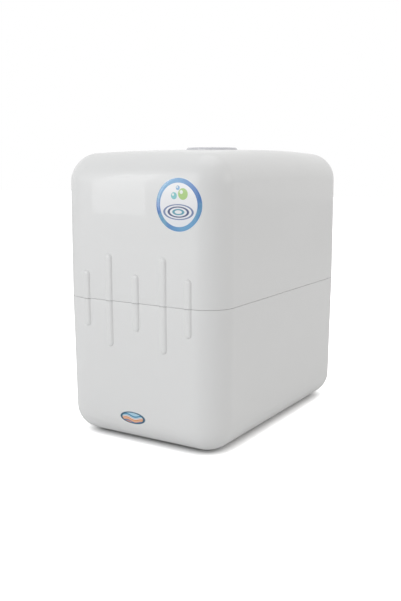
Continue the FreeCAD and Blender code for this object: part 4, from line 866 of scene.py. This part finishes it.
class Section:
    """A chain of stations, each with a draft, fillet, level, morph, circle and crown."""

    def __init__(self):
        self.stations = []

    def add(self, level, draft=0.0, fillet=0.0, morph=0.0, circle=0.0, crown=0.0):
        self.stations.append((draft, fillet, level, morph, circle, crown))

    def run(self, steps, first, last):
        """Evenly spaced stations from one set of values to another, the first one left out."""
        for step in range(1, steps + 1):
            share = step / steps
            self.add(**{key: first[key] + (last[key] - first[key]) * share for key in last})

    def arc(self, pairs, shoulder, radius, inset=0.0, **values):
        """A quarter arc that rolls in from a wall, upwards or, with a negative radius, down."""
        for sine, cosine in pairs:
            fillet = inset + abs(radius) * (1 - cosine)
            self.add(shoulder + radius * sine, fillet=fillet, **values)

    def sweep(self, name, closed, slot, half_width=HALF_WIDTH, half_depth=HALF_DEPTH,
              corner_radius=CORNER_RADIUS, outline_points=OUTLINE_POINTS):
        """The plain mesh that the casing form makes of the section."""
        columns = dict(zip(SECTION_VALUES, zip(*self.stations)))
        return grow(chain_object(name, columns, closed), casing_form, half_width=half_width,
                    half_depth=half_depth, corner_radius=corner_radius,
                    crown_radius=CROWN_RADIUS, middle_y=MIDDLE_Y, outline_points=outline_points,
                    finish=slot)


def quarter(steps):
    """Sine and cosine pairs of a quarter turn, from 0 to 90 degrees."""
    turns = [k / steps * math.pi / 2 for k in range(steps + 1)]
    return [(math.sin(turn), math.cos(turn)) for turn in turns]


print("sections carry", ", ".join(SECTION_VALUES))

# %% [markdown]
# ## The upper casing half
# Moulded in one piece: a drafted wall, a large rounded top edge that rolls round the corners, a
# slightly domed roof with a sunk seat and a hole for the cap, and a thin rebate inside the rim that
# hides the lower half's tongue. The top edge radius is almost as large as the corner radius, which
# gives the soft, nearly spherical corners.

# %% Sizes of the roof, its seat and its rebate
SEAT_RADIUS = 38.3 * MM
SEAT_Z = 402.3 * MM
HOLE_RADIUS = 30.0 * MM
COLLAR_WALL = 3.0 * MM
HOLE_LOW_Z = 392.5 * MM
COLLAR_LOW_Z = 397.5 * MM
REBATE_TOP_Z = 205.15 * MM
REBATE_INSET = 1.55 * MM
UPPER_WALL_STEPS = 14
INNER_WALL_STEPS = 7
ROOF_STEPS = 16
CEILING_STEPS = 12


def upper_wall(level):
    """Draft and crown of the upper wall at a height: the dome fades in on the way up."""
    share = (level - PARTING_Z) / (TOP_Z - TOP_RADIUS - PARTING_Z)
    return {"draft": UPPER_DRAFT * (level - PARTING_Z), "crown": min(1.0, max(0.0, share))}


print("the dome is full at", round((TOP_Z - TOP_RADIUS) / MM, 1), "mm")

# %% Upper half: section and mesh
def upper_casing_shape():
    section = Section()
    rim = PARTING_Z + HALF_GAP
    shoulder = TOP_Z - TOP_RADIUS
    section.arc(reversed(quarter(SOFT_STEPS)), rim + SOFT_EDGE, -SOFT_EDGE)
    for step in range(1, UPPER_WALL_STEPS):
        level = rim + SOFT_EDGE + (shoulder - rim - SOFT_EDGE) * step / UPPER_WALL_STEPS
        section.add(level, **upper_wall(level))
    top = upper_wall(shoulder)
    section.arc(quarter(OUTER_ARC_STEPS), shoulder, TOP_RADIUS, **top)
    edge = {"level": TOP_Z, "fillet": TOP_RADIUS, "draft": top["draft"], "crown": 1.0,
            "morph": 0.0, "circle": SEAT_RADIUS + SOFT_EDGE}
    section.run(ROOF_STEPS, edge, dict(edge, morph=1.0))
    ring_z = TOP_Z - SEAT_RADIUS ** 2 / (2 * CROWN_RADIUS)
    for sine, cosine in quarter(SOFT_STEPS - 1)[1:]:
        section.add(ring_z - SOFT_EDGE * (1 - cosine), morph=1.0,
                    circle=SEAT_RADIUS + SOFT_EDGE * (1 - sine))
    for level, circle in (
            (SEAT_Z, SEAT_RADIUS), (SEAT_Z, HOLE_RADIUS + SOFT_EDGE),
            (SEAT_Z - SOFT_EDGE, HOLE_RADIUS), (HOLE_LOW_Z, HOLE_RADIUS),
            (HOLE_LOW_Z, HOLE_RADIUS + COLLAR_WALL), (COLLAR_LOW_Z, HOLE_RADIUS + COLLAR_WALL),
            (COLLAR_LOW_Z, SEAT_RADIUS + COLLAR_WALL)):
        section.add(level, morph=1.0, circle=circle)
    roof = {"level": TOP_Z - WALL, "fillet": TOP_RADIUS, "draft": top["draft"], "crown": 1.0,
            "morph": 1.0, "circle": SEAT_RADIUS + COLLAR_WALL}
    section.add(**roof)
    section.run(CEILING_STEPS, roof, dict(roof, morph=0.0))
    section.arc(reversed(quarter(INNER_ARC_STEPS)[:-1]), shoulder, TOP_RADIUS - WALL, WALL, **top)
    for step in range(1, INNER_WALL_STEPS + 1):
        level = shoulder + (REBATE_TOP_Z - shoulder) * step / INNER_WALL_STEPS
        section.add(level, fillet=WALL, **upper_wall(level))
    section.add(REBATE_TOP_Z, fillet=REBATE_INSET)
    section.add(rim, fillet=REBATE_INSET)
    return section.sweep("upper_casing_moulding", True, "casing_white")


upper_casing = upper_casing_shape()
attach(upper_casing, "upper_casing_shell")
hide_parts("upper_casing")

# %% [markdown]
# ## The lower casing half
# The same rule without a hole: the section starts at the middle of the underside and ends at the
# middle of the floor inside, where the rings shrink to a point and are merged. Its rim carries the
# tongue.

# %% Lower half: section and mesh
TONGUE_TOP_Z = 205.0 * MM
TONGUE_OUTER = 1.7 * MM
TONGUE_INNER = 2.9 * MM
LOWER_WALL_STEPS = 12
UNDERSIDE_STEPS = 12
FLOOR_STEPS = 10


def lower_casing_shape():
    section = Section()
    rim = PARTING_Z - HALF_GAP
    shoulder = BASE_Z + BASE_RADIUS
    base_draft = LOWER_DRAFT * (PARTING_Z - BASE_Z - BASE_RADIUS)
    flat = {"level": BASE_Z, "fillet": BASE_RADIUS, "draft": base_draft, "morph": 1.0,
            "circle": 0.0}
    section.add(**flat)
    section.run(UNDERSIDE_STEPS, flat, dict(flat, morph=0.0))
    section.arc(reversed(quarter(OUTER_ARC_STEPS)[:-1]), shoulder, -BASE_RADIUS, draft=base_draft)
    for step in range(1, LOWER_WALL_STEPS + 1):
        level = shoulder + (rim - SOFT_EDGE - shoulder) * step / LOWER_WALL_STEPS
        section.add(level, draft=LOWER_DRAFT * (PARTING_Z - level))
    section.arc(quarter(SOFT_STEPS)[1:], rim - SOFT_EDGE, SOFT_EDGE)
    section.add(rim, fillet=TONGUE_OUTER)
    section.add(TONGUE_TOP_Z - SOFT_EDGE, fillet=TONGUE_OUTER)
    section.add(TONGUE_TOP_Z, fillet=TONGUE_OUTER + SOFT_EDGE)
    section.add(TONGUE_TOP_Z, fillet=TONGUE_INNER)
    for step in range(0, INNER_WALL_STEPS + 1):
        level = rim - WALL / 2 + (shoulder - rim + WALL / 2) * step / INNER_WALL_STEPS
        section.add(level, fillet=WALL, draft=LOWER_DRAFT * (PARTING_Z - level))
    section.arc(quarter(INNER_ARC_STEPS)[1:], shoulder, WALL - BASE_RADIUS, WALL,
                draft=base_draft)
    inside = {"level": BASE_Z + WALL, "fillet": BASE_RADIUS, "draft": base_draft, "morph": 0.0,
              "circle": 0.0}
    section.run(FLOOR_STEPS, inside, dict(inside, morph=1.0))
    return section.sweep("lower_casing_moulding", False, "casing_white")


lower_casing = lower_casing_shape()
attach(lower_casing, "base")
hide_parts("lower_casing")

# %% [markdown]
# ## Screw towers, bosses and webs
# The two halves are held by four long screws that run up inside hollow towers. All towers are
# alike, and so are the bosses above them and the small bosses that carry the brackets. So one tree
# turns a profile round an upright axis and sets a copy on every point. The profile is a chain of
# points with a radius and a level, as for the casing. A tower stands on the rounded edge of the
# base, so points that belong to its foot have no level of their own: a ray straight down finds the
# inside of the casing, and the foot follows that curve.

# %% Tree that turns a profile on every point
TOUCH = 0.05 * MM


def turned_row_tree():
    graph, given = geometry_tree("turned_row", {
        "Profile": "Geometry", "Places": "Object", "Ground": "Object", "Ray Start": 0.1,
        "Sunk": 0.0001, "Sides": 48})
    chain = graph.add("GeometryNodeMeshToCurve", {0: given["Profile"]})
    circle = graph.add("GeometryNodeCurvePrimitiveCircle", {
        "Resolution": given["Sides"], "Radius": 1.0})
    swept = graph.add("GeometryNodeCurveToMesh", {
        "Curve": graph.keep_place(circle, "outline"), "Profile Curve": chain})
    flat = graph.named("outline", "FLOAT_VECTOR") * graph.named("circle")
    turned = graph.moved(swept, flat + graph.combine(0.0, 0.0, graph.named("level")))
    row = graph.copies(graph.object_mesh(given["Places"]), turned)
    place = graph.add("GeometryNodeInputPosition")
    x, y = graph.split(place)[:2]
    source = graph.combine(x, y, given["Ray Start"])
    ground = graph.ray(given["Ground"], source, (0.0, 0.0, -1.0))[0]
    hit = ground - graph.combine(0.0, 0.0, given["Sunk"])
    drop = (hit - place) * graph.named("foot")
    standing = graph.add("GeometryNodeSetPosition", {"Geometry": row, "Offset": drop})
    return close_tree(graph, given, standing)


def turned_row_of(name, profile, places, body, node, slot, sides=48, closed=True, ground=None,
                  finish=None):
    """Copies of a profile of (radius, level) pairs. A level of None belongs to the foot."""
    row = chain_object(name, {
        "circle": [circle for circle, level in profile],
        "level": [level or 0.0 for circle, level in profile],
        "foot": [1.0 if level is None else 0.0 for circle, level in profile]}, closed)
    points = point_object(name + "_places", places)
    grow(row, turned_row, places=points, ground=ground, ray_start=PARTING_Z / 2, sunk=TOUCH,
         sides=sides, finish=finish or slot)
    bpy.data.objects.remove(points)
    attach(row, body)
    if node:
        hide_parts(node)


turned_row = turned_row_tree()

# %% Towers and bosses
TOWER_X, TOWER_Y = 113.0 * MM, 72.0 * MM
TOWER_RADIUS = 6.5 * MM
TOWER_FLOOR = 6.0 * MM
TOWER_BORE_RADIUS = 4.5 * MM
CASE_HOLE_RADIUS = 2.15 * MM
BOSS_RADIUS = 5.0 * MM
BOSS_HEIGHT = 32.0 * MM
SCREW_GRIP = 24.0 * MM
FLANGE_X, FLANGE_Y = 35.0 * MM, 107.5 * MM
FLANGE_Z = BASE_Z + WALL + 6.0 * MM
SMALL_HOLE_RADIUS = 1.75 * MM


def four_places(x, y, z=0.0):
    """Four places that mirror each other about the middle of the casing."""
    return [(i * x, MIDDLE_Y + j * y, z) for i in (-1, 1) for j in (-1, 1)]


tower_places = four_places(TOWER_X, TOWER_Y)
tower_top = PARTING_Z - TOUCH / 2
bore_top = PARTING_Z - TOWER_FLOOR
tower_profile = [(TOWER_RADIUS, None), (TOWER_RADIUS, tower_top - SOFT_EDGE),
                 (TOWER_RADIUS - SOFT_EDGE, tower_top), (CASE_HOLE_RADIUS, tower_top),
                 (CASE_HOLE_RADIUS, bore_top), (TOWER_BORE_RADIUS, bore_top),
                 (TOWER_BORE_RADIUS, None)]
turned_row_of("screw_towers", tower_profile, tower_places, "base", "lower_casing",
              "casing_white", ground=lower_casing)
boss_low = PARTING_Z + TOUCH / 2
boss_top = PARTING_Z + BOSS_HEIGHT
hole_top = PARTING_Z + SCREW_GRIP
boss_profile = [(0.0, hole_top), (CASE_HOLE_RADIUS, hole_top), (CASE_HOLE_RADIUS, boss_low),
                (BOSS_RADIUS - SOFT_EDGE, boss_low), (BOSS_RADIUS, boss_low + SOFT_EDGE),
                (BOSS_RADIUS, boss_top - SOFT_EDGE), (BOSS_RADIUS - SOFT_EDGE, boss_top),
                (0.0, boss_top)]
turned_row_of("screw_bosses", boss_profile, tower_places, "upper_casing_shell", "upper_casing",
              "casing_white", closed=False)
floor_boss_profile = [(BOSS_RADIUS, None), (BOSS_RADIUS, FLANGE_Z - SOFT_EDGE),
                      (BOSS_RADIUS - SOFT_EDGE, FLANGE_Z), (SMALL_HOLE_RADIUS, FLANGE_Z),
                      (SMALL_HOLE_RADIUS, None)]
turned_row_of("floor_bosses", floor_boss_profile, four_places(FLANGE_X, FLANGE_Y), "base",
              "lower_casing", "casing_white", ground=lower_casing)

# %% [markdown]
# ## Openings in the lower half
# Four feet sit in shallow recesses, four case screws go in from below and three tube ports pass
# through the rear wall. A hole could be modelled into the section, but it isn't round the same axis
# as the rings. A Boolean cut is simpler: one cylinder is placed on a point for each hole,
# stretched to its radius and length, and taken away.

# %% Drill the lower half
FOOT_X, FOOT_Y = 78.0 * MM, 145.0 * MM
FOOT_HOLE_RADIUS = 9.8 * MM
FOOT_RECESS = 1.0 * MM
TOWER_DRILL_DEPTH = 20.0 * MM
PORT_XS = (-26.0 * MM, 0.0, 26.0 * MM)
PORT_Z = 130.0 * MM
PORT_HOLE_RADIUS = 7.15 * MM
PAD_FACE_Y = MIDDLE_Y + 199.2 * MM
PAD_INNER_Y = MIDDLE_Y + 193.0 * MM


def drilled_tree():
    graph, given = geometry_tree("drilled", {
        "Shell": "Geometry", "Drills": "Object", "Sides": 64})
    drill = graph.add("GeometryNodeMeshCylinder", {
        "Vertices": given["Sides"], "Radius": 1.0, "Depth": 1.0}, "Mesh")
    radius = graph.named("drill_radius")
    drills = graph.copies(graph.object_mesh(given["Drills"]), drill,
                          Rotation=graph.combine(graph.named("tilt"), 0.0, 0.0),
                          Scale=graph.combine(radius, radius, graph.named("drill_length")))
    cut = graph.add("GeometryNodeMeshBoolean", {"Mesh 1": given["Shell"], "Mesh 2": drills},
                    operation="DIFFERENCE")
    return close_tree(graph, given, cut)


holes = [(place, FOOT_HOLE_RADIUS, 2 * FOOT_RECESS, 0.0)
         for place in four_places(FOOT_X, FOOT_Y, BASE_Z)]
holes += [((x, y, BASE_Z), TOWER_BORE_RADIUS, 2 * TOWER_DRILL_DEPTH, 0.0)
          for x, y, z in tower_places]
holes += [((x, PAD_FACE_Y, PORT_Z), PORT_HOLE_RADIUS, 8 * WALL, math.pi / 2) for x in PORT_XS]
places, radii, lengths, tilts = zip(*holes)
drills = point_object("drills", places, attributes={
    "drill_radius": radii, "drill_length": lengths, "tilt": tilts})
grow(lower_casing, drilled_tree(), drills=drills)
bpy.data.objects.remove(drills)

# %% [markdown]
# ## Webs and the port pad
# A thin web ties each tower and boss to the side wall. At the back a pad stiffens the wall where
# three bulkhead ports are clamped through it. The pad is drawn as curves, a rounded rectangle and
# three circles: filled together they give a plate with holes, which is then extruded to its
# thickness, and a Bevel modifier breaks its edges.

# %% Tree and meshes of the webs
WEB_THICKNESS = 3.0 * MM
WEB_HEIGHT = 24.0 * MM
WEB_OUTER_X = 126.4 * MM
WEB_OVERLAP = 0.5 * MM
WEB_TAPER = 0.85


def web_row_tree():
    graph, given = geometry_tree("web_row", {
        "Points": "Geometry", "Length": 0.01, "Thickness": 0.003, "Height": 0.02, "Taper": 0.8})
    size = graph.combine(given["Length"], given["Thickness"], given["Height"])
    web = graph.add("GeometryNodeMeshCube", {
        "Size": size, "Vertices X": 3, "Vertices Y": 3, "Vertices Z": 9})
    x, y, z = graph.split(graph.add("GeometryNodeInputPosition"))
    share = z / given["Height"] + 0.5
    narrowed = y * (1.0 - share * (1.0 - given["Taper"]))
    tapered = graph.moved(web, graph.combine(x, narrowed, z))
    return close_tree(graph, given, graph.copies(given["Points"], tapered))


web_row = web_row_tree()
for name, radius, top, body, node in (
        ("tower_webs", TOWER_RADIUS, bore_top, "base", "lower_casing"),
        ("boss_webs", BOSS_RADIUS, boss_top, "upper_casing_shell", "upper_casing")):
    inner = TOWER_X + radius - WEB_OVERLAP
    middle = (inner + WEB_OUTER_X) / 2
    webs = point_object(name, [(math.copysign(middle, x), y, top - WEB_HEIGHT / 2)
                               for x, y, z in tower_places])
    grow(webs, web_row, length=WEB_OUTER_X - inner, thickness=WEB_THICKNESS, height=WEB_HEIGHT,
         taper=WEB_TAPER)
    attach(webs, body)
    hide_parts(node)

# %% Tree and mesh of the port pad
PAD_HALF_WIDTH = 46.0 * MM
PAD_HALF_HEIGHT = 17.0 * MM
PAD_CORNER = 6.0 * MM
PAD_CORNER_POINTS = 12
PAD_HOLE_SIDES = 64
PAD_BEVEL = 0.5 * MM
PAD_BEVEL_ANGLE = math.radians(60)


def holed_plate_tree():
    graph, given = geometry_tree("holed_plate", {
        "Holes": "Geometry", "Width": 0.09, "Height": 0.03, "Corner": 0.006,
        "Hole Radius": 0.007, "Face Y": 0.19, "Thickness": 0.006, "Middle Z": 0.13})
    rectangle = graph.add("GeometryNodeCurvePrimitiveQuadrilateral", {
        "Width": given["Width"], "Height": given["Height"]})
    rounded = graph.add("GeometryNodeFilletCurve", {
        "Curve": rectangle, "Radius": given["Corner"], "Count": PAD_CORNER_POINTS}, mode="POLY")
    circle = graph.add("GeometryNodeCurvePrimitiveCircle", {
        "Resolution": PAD_HOLE_SIDES, "Radius": given["Hole Radius"]})
    curves = graph.join(rounded, graph.copies(given["Holes"], circle))
    filled = graph.add("GeometryNodeFillCurve", {"Curve": curves}, mode="NGONS")
    thick = graph.add("GeometryNodeExtrudeMesh", {
        "Mesh": filled, "Offset Scale": given["Thickness"], "Individual": False}, "Mesh",
        mode="FACES")
    closed = graph.join(thick, graph.add("GeometryNodeFlipFaces", {"Mesh": filled}))
    upright = graph.add("GeometryNodeTransform", {
        "Geometry": closed, "Rotation": (math.pi / 2, 0.0, 0.0),
        "Translation": graph.combine(0.0, given["Face Y"], given["Middle Z"])})
    return close_tree(graph, given, upright)


port_pad = point_object("port_pad", [(x, 0.0, 0.0) for x in PORT_XS])
grow(port_pad, holed_plate_tree(), width=2 * PAD_HALF_WIDTH, height=2 * PAD_HALF_HEIGHT,
     corner=PAD_CORNER, hole_radius=PORT_HOLE_RADIUS, face_y=PAD_FACE_Y,
     thickness=PAD_FACE_Y - PAD_INNER_Y, middle_z=PORT_Z)
softened = port_pad.modifiers.new("edges", "BEVEL")
softened.width = PAD_BEVEL
softened.segments = 3
softened.limit_method = "ANGLE"
softened.angle_limit = PAD_BEVEL_ANGLE
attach(port_pad, "base")
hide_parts("lower_casing")

# %% [markdown]
# ## The five ribs
# Each rib is a raised bar with rounded ends that crosses the joint, so each casing half carries
# five half ribs. They repeat, with two lengths, and that is what Geometry Nodes do well: one fine
# box is placed on five points, made real, and every vertex is then moved to the height that its
# distance from the rib's middle line asks for. The height follows a curve between an arc and a
# box, with steep sides, and runs out softly at the foot.

# %% Tree and meshes of the ribs
RIB_WIDTH = 11.5 * MM
RIB_HEIGHT = 2.8 * MM
RIB_STEEPNESS = 3.0
RIB_FULLNESS = 0.7
RIB_FOOT = 0.3 * MM
RIB_SUNK = 0.06 * MM
RIB_BACK = 0.5 * MM
RIB_GRID = (33, 97)
RIB_PLACES = ((-82.5, 33.0), (-44.0, 58.0), (0.0, 33.0), (44.0, 58.0), (82.5, 33.0))


def fine_block(graph, columns, rows):
    """A fine box of unit size, whose points know where they were."""
    block = graph.add("GeometryNodeMeshCube", {
        "Size": (1.0, 1.0, 1.0), "Vertices X": columns, "Vertices Y": 2, "Vertices Z": rows})
    return graph.keep_place(block, "patch")


def rib_row_tree():
    graph, given = geometry_tree("rib_row", {
        "Points": "Geometry", "Width": 0.01, "Height": 0.002, "Steepness": 3.0, "Foot": 0.001,
        "Sunk": 0.0001, "Back": 0.001, "Way": 1.0, "Draft": 0.005})
    rooted = graph.keep_place(given["Points"], "root")
    ribs = graph.copies(rooted, fine_block(graph, *RIB_GRID))
    own_x, own_y, own_z = graph.split(graph.named("patch", "FLOAT_VECTOR"))
    reach = graph.named("reach")
    half = given["Width"] / 2.0
    span = half + given["Foot"]
    across = own_x * (span * 2.0)
    along = (own_z + 0.5) * (reach + span)
    past_end = graph.math("MAXIMUM", along - reach, 0.0)
    share = graph.math("MINIMUM", graph.length(across, past_end) / half, 1.0)
    falling = 1.0 - share ** given["Steepness"]
    raised = given["Height"] * falling ** RIB_FULLNESS - given["Sunk"]
    is_front = graph.math("LESS_THAN", own_y, 0.0)
    depth = (1.0 - is_front) * given["Back"] - is_front * raised
    leaning = depth + along * given["Draft"]
    offset = graph.combine(across, leaning, along * given["Way"])
    final = graph.named("root", "FLOAT_VECTOR") + offset
    return close_tree(graph, given, graph.moved(ribs, final))


rib_row = rib_row_tree()
front_y = MIDDLE_Y - HALF_DEPTH
for name, way, draft, body, node in (
        ("upper_ribs", 1.0, UPPER_DRAFT, "upper_casing_shell", "upper_casing"),
        ("lower_ribs", -1.0, LOWER_DRAFT, "base", "lower_casing")):
    start_z = PARTING_Z + way * (HALF_GAP + TOUCH)
    ribs = point_object(name, [(x * MM, front_y, start_z) for x, reach in RIB_PLACES],
                        attributes={"reach": [reach * MM for x, reach in RIB_PLACES]})
    grow(ribs, rib_row, width=RIB_WIDTH, height=RIB_HEIGHT, steepness=RIB_STEEPNESS,
         foot=RIB_FOOT, sunk=RIB_SUNK, back=RIB_BACK, way=way, draft=draft)
    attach(ribs, body)
    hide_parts(node)

# %% [markdown]
# ## The badges
# A badge is a thin domed disc stuck to a surface that starts to curve away under it. A flat disc
# would stick out at the corner, so the tree makes a polar grid and brings every point onto the
# casing with a ray from the front. The point then rises by the dome's height, which falls to
# nothing at the edge, and a second layer just below closes it.

# %% Tree and meshes of the badges
BADGE_THICKNESS = 0.6 * MM
BADGE_SUNK = 0.15 * MM
BADGE_GRID = (41, 193)
DOME_POWER = 14.0
RAY_RUN_UP = 20.0 * MM


def badge_tree():
    graph, given = geometry_tree("laid_badge", {
        "Start": "Geometry", "Casing": "Object", "Half Width": 0.02, "Half Height": 0.02,
        "Thickness": 0.001, "Sunk": 0.0001})
    block = fine_block(graph, *BADGE_GRID)
    own_x, own_y, own_z = graph.split(graph.named("patch", "FLOAT_VECTOR"))
    start = graph.add("GeometryNodeSampleIndex", {
        "Geometry": given["Start"], "Value": graph.add("GeometryNodeInputPosition"), "Index": 0},
        "Value", data_type="FLOAT_VECTOR", domain="POINT")
    share = graph.math("SINE", (own_x + 0.5) * (math.pi / 2))
    turn = own_z * (2 * math.pi)
    across = graph.math("COSINE", turn) * share * given["Half Width"]
    up = graph.math("SINE", turn) * share * given["Half Height"]
    source = start + graph.combine(across, 0.0, up)
    surface, normal = graph.ray(given["Casing"], source, (0.0, 1.0, 0.0))
    falloff = graph.math("SQRT", graph.math("MAXIMUM", 1.0 - share ** DOME_POWER, 0.0))
    is_front = graph.math("LESS_THAN", own_y, 0.0)
    rise = falloff * given["Thickness"] * is_front - (1.0 - is_front) * given["Sunk"]
    return close_tree(graph, given, graph.moved(block, surface + normal * rise))


laid_badge = badge_tree()
for name, badge, casing, body, node, slot in (
        ("round_badge_label", ROUND_BADGE, upper_casing, "upper_casing_shell", "round_badge",
         "badge_print"),
        ("oval_badge_label", OVAL_BADGE, lower_casing, "base", "oval_badge",
         "badge_oval_print")):
    label = point_object(name, [(badge["x"], front_y - RAY_RUN_UP, badge["z"])])
    grow(label, laid_badge, slot, casing=casing, half_width=badge["half_width"],
         half_height=badge["half_height"], thickness=BADGE_THICKNESS, sunk=BADGE_SUNK)
    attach(label, body)
    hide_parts(node)

# %% [markdown]
# ## Sleeves on the filters
# Every sealed filter carries a printed sleeve that shows which way the water runs. The sleeve is a
# thin ring round the canister, so the tree of the towers turns it too. The columns stand one pitch
# apart, and the sleeve of the membrane housing sits one step lower, below its screw cap. Two
# wrapped coordinates therefore put the same bands and waves on each of them. Water rises in the
# two outer filters of the front row and runs down in the others, so the arrow is turned over there.

# %% Print of the sleeves, with its levels in millimetres
FILTER_PITCH = 74.0 * MM
SLEEVE_STEP = 82.0 * MM
WRAP_TOP = 331.0 * MM
SLEEVE_WHITE = (0.80, 0.81, 0.82, 1)
DEEP_BLUE = (0.03, 0.15, 0.42, 1)
PALE_BLUE = (0.10, 0.42, 0.62, 1)
SLEEVE_BANDS = ((309.0, 4.5, DEEP_BLUE), (302.0, 0.8, PALE_BLUE), (265.5, 1.0, DEEP_BLUE))
SLEEVE_WAVES = (273.5, 278.5, 283.5)
ARROW_MIDDLE = 284.5
ARROW_TIP = 298.5
ARROW_NECK = 287.0
ARROW_SLOPE = 0.75
SHAFT_HALF = 3.5
SHAFT_SPAN = (279.0, 8.2)
SWELL_RATE = 0.8
SWELL_HALF = 0.8
SWELL_SPAN = (15.0, 7.0)
SHARP_PRINT = 0.2


def sleeve_print():
    graph = new_finish("sleeve_print")
    x, y, z = graph.split(graph.place())
    half_pitch = FILTER_PITCH / 2
    column = graph.math("WRAP", x, half_pitch, -half_pitch) / MM
    aside = graph.math("ABSOLUTE", column)
    level = graph.math("WRAP", z, WRAP_TOP, WRAP_TOP - SLEEVE_STEP) / MM
    shade = SLEEVE_WHITE
    for middle, half, colour in SLEEVE_BANDS:
        shade = graph.over(graph.band(level, middle, half, SHARP_PRINT), shade, colour)
    in_middle = graph.math("LESS_THAN", graph.math("ABSOLUTE", x), half_pitch)
    downwards = graph.math("MAXIMUM", in_middle, graph.math("GREATER_THAN", y, 0.0))
    along = level + downwards * (2 * ARROW_MIDDLE - level * 2.0)
    slope = (along - ARROW_TIP) * ARROW_SLOPE + aside
    head = graph.ramp(slope, 0.3, 0.0) * graph.ramp(along, ARROW_NECK - SHARP_PRINT, ARROW_NECK)
    shaft = graph.ramp(aside, SHAFT_HALF + SHARP_PRINT, SHAFT_HALF)
    shaft = shaft * graph.band(along, *SHAFT_SPAN, SHARP_PRINT)
    shade = graph.over(graph.math("MAXIMUM", head, shaft), shade, DEEP_BLUE)
    swell = graph.math("SINE", column * SWELL_RATE) + level
    for middle in SLEEVE_WAVES:
        wave = graph.band(swell, middle, SWELL_HALF, SHARP_PRINT)
        beside = graph.band(aside, *SWELL_SPAN, SHARP_PRINT)
        shade = graph.over(wave * beside, shade, PALE_BLUE)
    close_print(graph, shade, 700.0, 0.34, 0.3, 0.1)


sleeve_print()
print("sleeve bands at", [middle for middle, half, colour in SLEEVE_BANDS], "mm")

# %% Sleeves
FILTER_RADIUS = 31.5 * MM
SLEEVE_PROUD = 0.12 * MM
SLEEVE_LOW, SLEEVE_HIGH = 262.0 * MM, 316.0 * MM
FRONT_ROW_Y = -165.25 * MM
REAR_ROW_Y = 150.75 * MM

filter_places = [(x * FILTER_PITCH, FRONT_ROW_Y, 0.0) for x in (-1, 0, 1)]
filter_places += [(-FILTER_PITCH, REAR_ROW_Y, -SLEEVE_STEP), (FILTER_PITCH, REAR_ROW_Y, 0.0)]
inside, outside = FILTER_RADIUS - SLEEVE_PROUD, FILTER_RADIUS + SLEEVE_PROUD
sleeve_profile = [(inside, SLEEVE_LOW), (outside, SLEEVE_LOW), (outside, SLEEVE_HIGH),
                  (inside, SLEEVE_HIGH)]
turned_row_of("filter_sleeves", sleeve_profile, filter_places, "base", None, "canister_white",
              sides=128, finish="sleeve_print")

# %% [markdown]
# ## The service cap
# The cap is a turned shape, so it is the casing rule with every ring fully morphed into a circle: a
# plug skirt in the hole, a gasket groove, a short rounded side and a slightly domed top. Real edges
# of a moulding are never razor sharp, so each corner gets a small radius, which also catches a
# thin line of light.

# %% Cap: section and mesh
CAP_RADIUS = 38.0 * MM
CAP_RIM_Z = 406.5 * MM
CAP_CROWN = 0.8 * MM
CAP_EDGE = 3.0 * MM
CAP_SKIN = 3.0 * MM
SKIRT_RADIUS = 29.65 * MM
SKIRT_WALL = 2.5 * MM
SKIRT_LOW_Z = 390.3 * MM
GROOVE_OUTER, GROOVE_INNER = 36.6 * MM, 32.4 * MM
GROOVE_TOP_Z = 403.3 * MM
DOME_STEPS = 10
CAP_EDGE_STEPS = 12
CAP_OUTLINE_POINTS = 192
CAP_CORNER_SHARE = 0.9


def cap_shape():
    section = Section()
    shoulder = CAP_RADIUS - CAP_EDGE
    dome = shoulder ** 2 / (2 * CAP_CROWN)
    crest_z = CAP_RIM_Z + CAP_CROWN
    inside_z = CAP_RIM_Z - CAP_SKIN
    rings = [shoulder * k / DOME_STEPS for k in range(DOME_STEPS + 1)]
    turned = [(ring, crest_z - ring ** 2 / (2 * dome)) for ring in rings]
    turned += [(shoulder + CAP_EDGE * sine, CAP_RIM_Z - CAP_EDGE * (1 - cosine))
               for sine, cosine in quarter(CAP_EDGE_STEPS)[1:]]
    turned += [(CAP_RADIUS, SEAT_Z + SOFT_EDGE), (CAP_RADIUS - SOFT_EDGE, SEAT_Z),
               (GROOVE_OUTER, SEAT_Z), (GROOVE_OUTER, GROOVE_TOP_Z),
               (GROOVE_INNER, GROOVE_TOP_Z), (GROOVE_INNER, SEAT_Z), (SKIRT_RADIUS, SEAT_Z),
               (SKIRT_RADIUS, SKIRT_LOW_Z + SOFT_EDGE),
               (SKIRT_RADIUS - SOFT_EDGE, SKIRT_LOW_Z), (SKIRT_RADIUS - SKIRT_WALL, SKIRT_LOW_Z),
               (SKIRT_RADIUS - SKIRT_WALL, inside_z), (0.0, inside_z)]
    for circle, level in turned:
        section.add(level, morph=1.0, circle=circle)
    return section.sweep("service_cap_moulding", False, "cap_white", half_width=CAP_RADIUS,
                         half_depth=CAP_RADIUS, corner_radius=CAP_RADIUS * CAP_CORNER_SHARE,
                         outline_points=CAP_OUTLINE_POINTS)


service_cap = cap_shape()
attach(service_cap, "service_lid")
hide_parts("service_cap")
